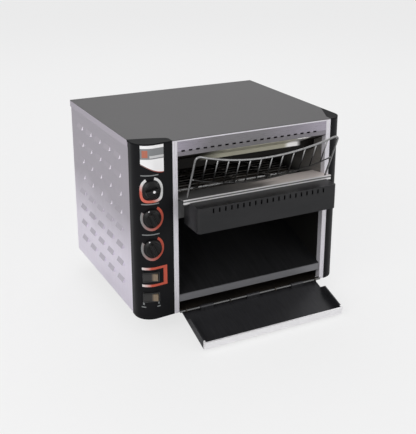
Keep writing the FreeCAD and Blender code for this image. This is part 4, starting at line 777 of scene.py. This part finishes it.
def end_tree(tree, start, geometry):
    """Makes a tree's copies real, gives them its finish and puts them out."""
    real = tree_node(tree, "GeometryNodeRealizeInstances", {}, {"Geometry": geometry})
    dressed = tree_node(tree, "GeometryNodeSetMaterial", {}, {
        "Geometry": real.outputs["Geometry"], "Material": start.outputs["Finish"]})
    tree_node(tree, "NodeGroupOutput", {}, {0: dressed.outputs["Geometry"]})


def read_out(tree, name, kind):
    """What a tree's points carry under a name."""
    node = tree_node(tree, "GeometryNodeInputNamedAttribute", {"data_type": kind}, {"Name": name})
    return node.outputs["Attribute"]


def aimed_row(tree, start, shape):
    """Ends a tree with a copy of its shape on each point, turned to look along the point's aim."""
    turn = tree_node(tree, "FunctionNodeAlignRotationToVector", {"axis": "Z"}, {
        "Vector": read_out(tree, "aim", "FLOAT_VECTOR")})
    row = tree_node(tree, "GeometryNodeInstanceOnPoints", {}, {
        "Points": start.outputs["Geometry"], "Instance": shape.outputs["Mesh"],
        "Rotation": turn.outputs["Rotation"]})
    end_tree(tree, start, row.outputs["Instances"])


def shown_mesh(piece):
    """What an object shows, as a plain mesh."""
    graph = bpy.context.evaluated_depsgraph_get()
    return bpy.data.meshes.new_from_object(piece.evaluated_get(graph), depsgraph=graph)


def grown(name, base, tree, keys, values):
    """The plain mesh that a tree makes from a base mesh, as a new object at the origin."""
    carrier = placed(name + "_base", base)
    modifier = carrier.modifiers.new(name, "NODES")
    modifier.node_group = tree
    for label, value in values.items():
        modifier[keys[label]] = value
    made = shown_mesh(carrier)
    carrier.modifiers.remove(modifier)
    bpy.data.objects.remove(carrier)
    return placed(name, made)


def points_mesh(name, points, **marks):
    """Bare points, each with the numbers or arrows that a tree reads."""
    mesh = bpy.data.meshes.new(name)
    mesh.from_pydata([tuple(point) for point in points], [], [])
    for label, values in marks.items():
        if isinstance(values[0], float):
            mesh.attributes.new(label, "FLOAT", "POINT").data.foreach_set("value", values)
        else:
            flat = [part for value in values for part in value]
            mesh.attributes.new(label, "FLOAT_VECTOR", "POINT").data.foreach_set("vector", flat)
    return mesh


def wire_piece(name, runs, finish):
    """Round wires as one closed mesh: each run is its points and its radius."""
    curve = bpy.data.curves.new(name, "CURVE")
    curve.dimensions = "3D"
    curve.bevel_depth = 1.0
    curve.bevel_resolution = 4
    curve.use_fill_caps = True
    for points, radius in runs:
        spline = curve.splines.new("POLY")
        spline.points.add(len(points) - 1)
        for place, point in zip(spline.points, points):
            place.co = (point.x, point.y, point.z, 1.0)
            place.radius = radius
    drawn = placed(name + "_curve", curve)
    mesh = shown_mesh(drawn)
    bpy.data.objects.remove(drawn)
    mesh.materials.clear()
    mesh.materials.append(finish.material)
    smooth_sides(mesh)
    return placed(name, mesh)


def rack_point(across, up):
    return rack_foot + Vector((across, 0, 0)) + rack_up * up


def rack_level(across, top):
    return top - math.sqrt(rack_sag ** 2 - across ** 2) + rack_sag * math.cos(rack_bend)


def rack_corner_run(side):
    """The frame's rounded top corner on one side, from its leg up."""
    run = []
    for step in range(corner_steps + 1):
        angle = (math.pi / 2 + rack_bend) * step / corner_steps
        run.append(rack_point(side * (rack_half - rack_corner + rack_corner * math.cos(angle)),
                              rack_side_top + rack_corner * math.sin(angle)))
    return run


def rack_sag_run(half, top, first, last):
    """Points along a sagging wire, from the first step to before the last."""
    places = [-half + 2 * half * step / sag_steps for step in range(first, last)]
    return [rack_point(across, rack_level(across, top)) for across in places]


rack_top = rack_side_top + rack_corner * math.cos(rack_bend)
rack_path = [rack_point(-rack_half, rack_plug)] + rack_corner_run(-1)
rack_path += rack_sag_run(rack_span, rack_top, 1, sag_steps)
rack_path += rack_corner_run(1)[::-1] + [rack_point(rack_half, rack_plug)]
cross_path = rack_sag_run(rack_half, rack_top - rack_drop, 0, sag_steps + 1)
rack_runs = [(rack_path, rack_wire), (cross_path, rack_bar_wire)]
rack_frame = wire_piece("rack_frame_wires", rack_runs, rack_finish)
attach(rack_frame, "rack")
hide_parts("loading_rack")

bar_tree, bar_in, bar_keys = new_tree("rack_bar_row", {
    "Wire Radius": "NodeSocketFloat", "Bar Length": "NodeSocketFloat", "Finish": "NodeSocketMaterial"})
bar_wire = tree_node(bar_tree, "GeometryNodeMeshCylinder", {}, {
    "Vertices": 16, "Radius": bar_in.outputs["Wire Radius"], "Depth": bar_in.outputs["Bar Length"]})
aimed_row(bar_tree, bar_in, bar_wire)
bar_places = []
for index in range(rack_bars):
    across = -rack_half + (index + 1) * 2 * rack_half / (rack_bars + 1)
    bar_level = rack_level(min(abs(across), rack_span), rack_top) - rack_drop / 2
    bar_places.append(rack_point(across, bar_level))
bar_base = points_mesh("bar_places", bar_places, aim=[rack_up] * rack_bars)
bars = grown("rack_bars", bar_base, bar_tree, bar_keys, {
    "Wire Radius": rack_bar_wire, "Bar Length": rack_drop, "Finish": rack_finish.material})
smooth_sides(bars.data)
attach(bars, "rack")


# Landing tray: folded steel with a plain bright lip, hung on the tray rod by three curled hooks.
# Its floor is near black, painted shade inside the tray; the lip is near white, a painted highlight.
tray_floor_shade = (0.02, 0.02, 0.022, 1.0)
tray_soft = (0.045, 0.045, 0.049, 1.0)
tray_lip_highlight = (0.96, 0.95, 0.96, 1.0)
tray_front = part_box("landing_tray")[0].y
tray_highlight_depth, tray_highlight_fade = 0.0065, 900.0
tray_finish = Finish("tray_steel", 0.4)
tray_front_share = (tray_finish.place("Y") - (tray_front + tray_highlight_depth)) * tray_highlight_fade
tray_grain = tray_finish.noise(8.0, (60.0, 5.0, 5.0))
tray_floor = tray_finish.blend(tray_grain, tray_floor_shade, tray_soft)
tray_lip_highlight_mask = tray_finish.ramp(tray_front_share, [(0.0, grey(1.0)), (1.0, grey(0.0))])
tray_finish.colour(tray_lip_highlight_mask, tray_floor, tray_lip_highlight)
tray_finish.rough(tray_grain * 0.2 + 0.25)
tray_finish.bump(tray_grain, 0.05, 0.0002)
tray_finish.put_on("landing_tray")
rod_finish = speckled("tray_rod_steel", 0.25, 0.9, 200.0, grey(0.12), grey(0.22))
rod_finish.put_on("tray_rod", "belt_guides", "idler_shaft", "drive_shaft", "motor_shaft", "speed_shaft",
                  "top_heat_shaft", "bottom_heat_shaft")


# Conveyor belt: 42 cranked stainless wires, each hooked over the one before, run over toothed sprockets.
# The wires are round and darkened by heat.
belt_pitch = 0.0127
belt_teeth = 8
belt_links = 17
shaft_low, shaft_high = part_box("idler_shaft")
belt_front = (shaft_low.y + shaft_high.y) / 2
belt_level = (shaft_low.z + shaft_high.z) / 2
belt_radius = belt_pitch / (2 * math.sin(math.pi / belt_teeth))
belt_back = belt_front + belt_links * belt_pitch
belt_low, belt_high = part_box("conveyor_belt")
belt_half = (belt_high.x - belt_low.x) / 2
belt_mid = (belt_high.x + belt_low.x) / 2
belt_wire = 0.0011
belt_nest_gap = 0.0005
hook_half = 0.003
hook_reach = belt_pitch - 2 * belt_wire - belt_nest_gap

belt_finish = speckled("belt_wire", 0.25, 0.85, 60.0, grey(0.05, 0.1), grey(0.13, 0.05), spread=0.25)


def belt_wire_path(hooks):
    """One wire lying along X, cranked forward at each hook."""
    path = [Vector((-belt_half, 0, 0))]
    for across in hooks:
        path.append(Vector((across - hook_half - 2 * belt_wire, 0, 0)))
        path.append(Vector((across - hook_half, hook_reach, 0)))
        path.append(Vector((across + hook_half, hook_reach, 0)))
        path.append(Vector((across + hook_half + 2 * belt_wire, 0, 0)))
    path.append(Vector((belt_half, 0, 0)))
    return path


def belt_stations():
    """Each wire's place and its turn about X as the belt runs round both shafts."""
    step_turn = 2 * math.pi / belt_teeth
    stations = []
    for side, shaft, turned in ((1, belt_front, belt_back), (-1, belt_back, belt_front)):
        for link in range(belt_links + 1):
            stations.append((shaft + side * link * belt_pitch, belt_level + side * belt_radius))
        for step in range(1, belt_teeth // 2):
            angle = side * math.pi / 2 - step * step_turn
            rise = belt_radius * math.sin(angle)
            stations.append((turned + belt_radius * math.cos(angle), belt_level + rise))
    return stations


even_hooks = [-belt_half / 2, belt_half / 2]
even_wire = wire_piece("even_belt_wire", [(belt_wire_path(even_hooks), belt_wire)], belt_finish)
odd_wire = wire_piece("odd_belt_wire", [(belt_wire_path([0.0]), belt_wire)], belt_finish)
belt_tree, belt_in, belt_keys = new_tree("belt_wire_run", {
    "Even Wire": "NodeSocketObject", "Odd Wire": "NodeSocketObject", "Finish": "NodeSocketMaterial"})
belt_join = tree_node(belt_tree, "GeometryNodeJoinGeometry", {}, {})
turn_vector = tree_node(belt_tree, "ShaderNodeCombineXYZ", {}, {"X": read_out(belt_tree, "turn", "FLOAT")})
turn_rotation = tree_node(belt_tree, "FunctionNodeEulerToRotation", {}, {0: turn_vector.outputs[0]})
is_odd = tree_node(belt_tree, "FunctionNodeCompare", {"data_type": "FLOAT", "operation": "GREATER_THAN"},
                   {0: read_out(belt_tree, "odd", "FLOAT"), 1: 0.5})
is_even = tree_node(belt_tree, "FunctionNodeBooleanMath", {"operation": "NOT"}, {0: is_odd.outputs[0]})
for label, chosen in (("Even Wire", is_even.outputs[0]), ("Odd Wire", is_odd.outputs[0])):
    source = tree_node(belt_tree, "GeometryNodeObjectInfo", {}, {"Object": belt_in.outputs[label]})
    run = tree_node(belt_tree, "GeometryNodeInstanceOnPoints", {}, {
        "Points": belt_in.outputs["Geometry"], "Selection": chosen, "Instance": source.outputs["Geometry"],
        "Rotation": turn_rotation.outputs[0]})
    belt_tree.links.new(run.outputs["Instances"], belt_join.inputs[0])
end_tree(belt_tree, belt_in, belt_join.outputs[0])
stations = belt_stations()
belt_turns = [math.atan2(next_z - z, next_y - y)
              for (y, z), (next_y, next_z) in zip(stations, stations[1:] + stations[:1])]
belt_base = points_mesh("belt_stations", [(belt_mid, y, z) for y, z in stations], turn=belt_turns,
                        odd=[float(index % 2) for index in range(len(stations))])
belt = grown("belt_wires", belt_base, belt_tree, belt_keys, {
    "Even Wire": even_wire, "Odd Wire": odd_wire, "Finish": belt_finish.material})
bpy.data.objects.remove(even_wire)
bpy.data.objects.remove(odd_wire)
smooth_sides(belt.data)
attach(belt, "case")
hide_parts("conveyor_belt")


# Drive: cast sprockets and chain wheels, bronze bushes, a die-cast gear motor and an oiled chain.
# They stand in the compartment behind the control column.
cast_finish = speckled("sprocket_steel", 0.5, 0.7, 300.0, grey(0.12), grey(0.24), 0.2)
cast_finish.put_on("drive_sprockets", "idler_sprockets", "motor_sprocket", "driven_sprocket")
bronze_dull = (0.36, 0.23, 0.1, 1.0)
bronze_bright = (0.6, 0.42, 0.2, 1.0)
speckled("bush_bronze", 0.35, 0.9, 150.0, bronze_dull, bronze_bright).put_on("shaft_bearings")
speckled("motor_grey", 0.45, 0.3, 250.0, grey(0.14), grey(0.22), 0.15).put_on("gear_motor")
speckled("chain_steel", 0.35, 0.85, 200.0, grey(0.1), grey(0.3)).put_on("drive_chain")


# Heaters and their insulators: sheathed elements oxidised to brown-black, set in glazed white ceramic.
# The elements are bent hairpins; their legs pass the left wall in the ceramic bushes.
oxide_dark = (0.03, 0.024, 0.02, 1.0)
oxide_brown = (0.1, 0.075, 0.055, 1.0)
heater_finish = speckled("heater_sheath", 0.6, 0.4, 80.0, oxide_dark, oxide_brown, 0.1, 0.0004)
heater_finish.put_on("upper_heaters", "lower_heaters")
ceramic_finish = speckled("ceramic", 0.4, 0.0, 300.0, grey(0.6, 0.03), grey(0.8, 0.03))
ceramic_finish.put_on("heater_insulators", "terminal_block")


# Feet: black rubber bobbins, moulded with a narrow waist.
# They are screwed up into the floor pan.
speckled("foot_rubber", 0.7, 0.0, 500.0, grey(0.015), grey(0.035), 0.15).put_on("feet")


# Case screws: pan heads with a cross recess, round the edges of the back panel.
# They are zinc plated and go into pressed nuts in the folds of the cover, the sides and the floor pan.
screw_radius = 0.0034
screw_height = 0.0022
screw_taper = 0.72
screw_sides = 20
recess_length = 0.0038
recess_width = 0.0008
recess_depth = 0.0012

screw_finish = speckled("screw_zinc", 0.2, 0.9, 400.0, grey(0.4), grey(0.62), spread=0.2)

screw_tree, screw_in, screw_keys = new_tree("case_screws", {
    "Head Radius": "NodeSocketFloat", "Head Height": "NodeSocketFloat", "Recess": "NodeSocketVector",
    "Finish": "NodeSocketMaterial"})
head = tree_node(screw_tree, "GeometryNodeMeshCone", {"fill_type": "NGON"}, {
    "Vertices": screw_sides, "Radius Top": screw_radius * screw_taper,
    "Radius Bottom": screw_in.outputs["Head Radius"], "Depth": screw_in.outputs["Head Height"]})
recess = tree_node(screw_tree, "GeometryNodeMeshCube", {}, {"Size": screw_in.outputs["Recess"]})
head_cut = tree_node(screw_tree, "GeometryNodeMeshBoolean", {"operation": "DIFFERENCE"}, {
    "Mesh 1": head.outputs["Mesh"]})
for turn in (0, math.pi / 2):
    slot = tree_node(screw_tree, "GeometryNodeTransform", {}, {
        "Geometry": recess.outputs["Mesh"], "Translation": (0, 0, screw_height), "Rotation": (0, 0, turn)})
    screw_tree.links.new(slot.outputs["Geometry"], head_cut.inputs["Mesh 2"])
aimed_row(screw_tree, screw_in, head_cut)

screw_end_shares = (0.1, 0.5, 0.9)
screw_side_shares = (0.2, 0.5, 0.8)
screw_fold_drop = 0.0075
screw_edge = 0.0065
screw_recess = 0.0014
back_low, back_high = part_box("rear_panel")
screw_places = []
for share in screw_end_shares:
    x = back_low.x + (back_high.x - back_low.x) * share
    screw_places.append((x, cover_high.y, cover_high.z - screw_fold_drop))
    screw_places.append((x, back_high.y, back_low.z + screw_edge))
for share in screw_side_shares:
    z = back_low.z + (back_high.z - back_low.z) * share
    for x in (back_low.x + screw_edge, back_high.x - screw_edge):
        screw_places.append((x, cover_high.y - screw_recess, z))
screw_base = points_mesh("screw_places", screw_places, aim=[(0, 1, 0)] * len(screw_places))
screws = grown("case_screw_heads", screw_base, screw_tree, screw_keys, {
    "Head Radius": screw_radius, "Head Height": screw_height,
    "Recess": (recess_length, recess_width, 2 * recess_depth), "Finish": screw_finish.material})
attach(screws, "case")


# Studio: a pale seamless floor, a broad key light from the upper left, a fill and a rim light.
# To the camera the floor is part paper and part plain white, so that it runs on into the background.
background_level = 0.86
paper_level = 0.93
paper_share = 0.22
floor_size = 14.0
floor_mesh = bpy.data.meshes.new("studio_floor")
floor_corners = [(x * floor_size, y * floor_size, 0) for x, y in ((-1, -1), (1, -1), (1, 1), (-1, 1))]
floor_mesh.from_pydata(floor_corners, [], [(0, 1, 2, 3)])
floor_finish = Finish("studio_paper")
floor_finish.colour(floor_finish.noise(40.0), grey(0.84), grey(0.88))
floor_finish.rough(0.9)
floor_seen = floor_finish.node("ShaderNodeLightPath", {}, {}, "Is Camera Ray") * (1 - paper_share)
floor_white = floor_finish.node("ShaderNodeEmission", {}, {"Color": grey(paper_level), "Strength": 1.0})
floor_paper = Value(floor_finish, floor_finish.shader.outputs[0])
floor_mix = floor_finish.node("ShaderNodeMixShader", {}, {0: floor_seen, 1: floor_paper, 2: floor_white})
floor_finish.tree.links.new(floor_mix.socket, floor_finish.tree.nodes["Material Output"].inputs["Surface"])
floor_mesh.materials.append(floor_finish.material)
studio_floor = placed("studio_floor", floor_mesh)

world = bpy.data.worlds.new("studio_world")
bpy.context.scene.world = world
world.use_nodes = True
world_tree = world.node_tree
ambient_light = (0.98, 0.98, 1.0, 1.0)
ambient_strength = 0.5
ambient = world_tree.nodes["Background"]
ambient.inputs["Color"].default_value = ambient_light
ambient.inputs["Strength"].default_value = ambient_strength
backdrop = tree_node(world_tree, "ShaderNodeBackground", {}, {"Color": grey(background_level)})
ray = tree_node(world_tree, "ShaderNodeLightPath", {}, {})
backdrop_share = ray.outputs["Is Camera Ray"]
for kind in ("Is Transmission Ray", "Is Glossy Ray"):
    either = tree_node(world_tree, "ShaderNodeMath", {"operation": "MAXIMUM"}, {
        0: backdrop_share, 1: ray.outputs[kind]})
    backdrop_share = either.outputs[0]
world_mix = tree_node(world_tree, "ShaderNodeMixShader", {}, {
    0: backdrop_share, 1: ambient.outputs[0], 2: backdrop.outputs[0]})
world_tree.links.new(world_mix.outputs[0], world_tree.nodes["World Output"].inputs["Surface"])

light_size = 1.6


def area_light(name, place, target, power):
    """A square softbox that looks at its target."""
    light = bpy.data.lights.new(name, "AREA")
    light.size = light_size
    light.energy = power
    lamp = placed(name, light)
    lamp.location = place
    lamp.rotation_euler = (Vector(target) - Vector(place)).to_track_quat("-Z", "Y").to_euler()


area_light("key_light", (-1.9, -1.4, 1.5), (0, 0, 0.15), 30.0)
area_light("fill_light", (1.6, -2.2, 1.0), (0, 0, 0.2), 14.0)
area_light("back_light", (0.8, 1.8, 2.2), (0, 0, 0.2), 15.0)


# Camera: the photograph's view, from above and to the left of the front.
# It looks down a little; the small shift keeps the uprights nearly parallel, as in the photograph.
camera_pitch, camera_yaw = 0.3196, -0.465
camera_data = bpy.data.cameras.new("photo_camera")
camera_data.sensor_width = 36.0
camera_data.lens = 66.67
camera_data.shift_y = -0.12
camera = placed("photo_camera", camera_data)
camera.location = (-0.6574, -1.2996, 0.7357)
camera.rotation_euler = (math.pi / 2 - camera_pitch, 0.0, camera_yaw)
bpy.context.scene.camera = camera
bpy.context.scene.view_settings.view_transform = "Standard"
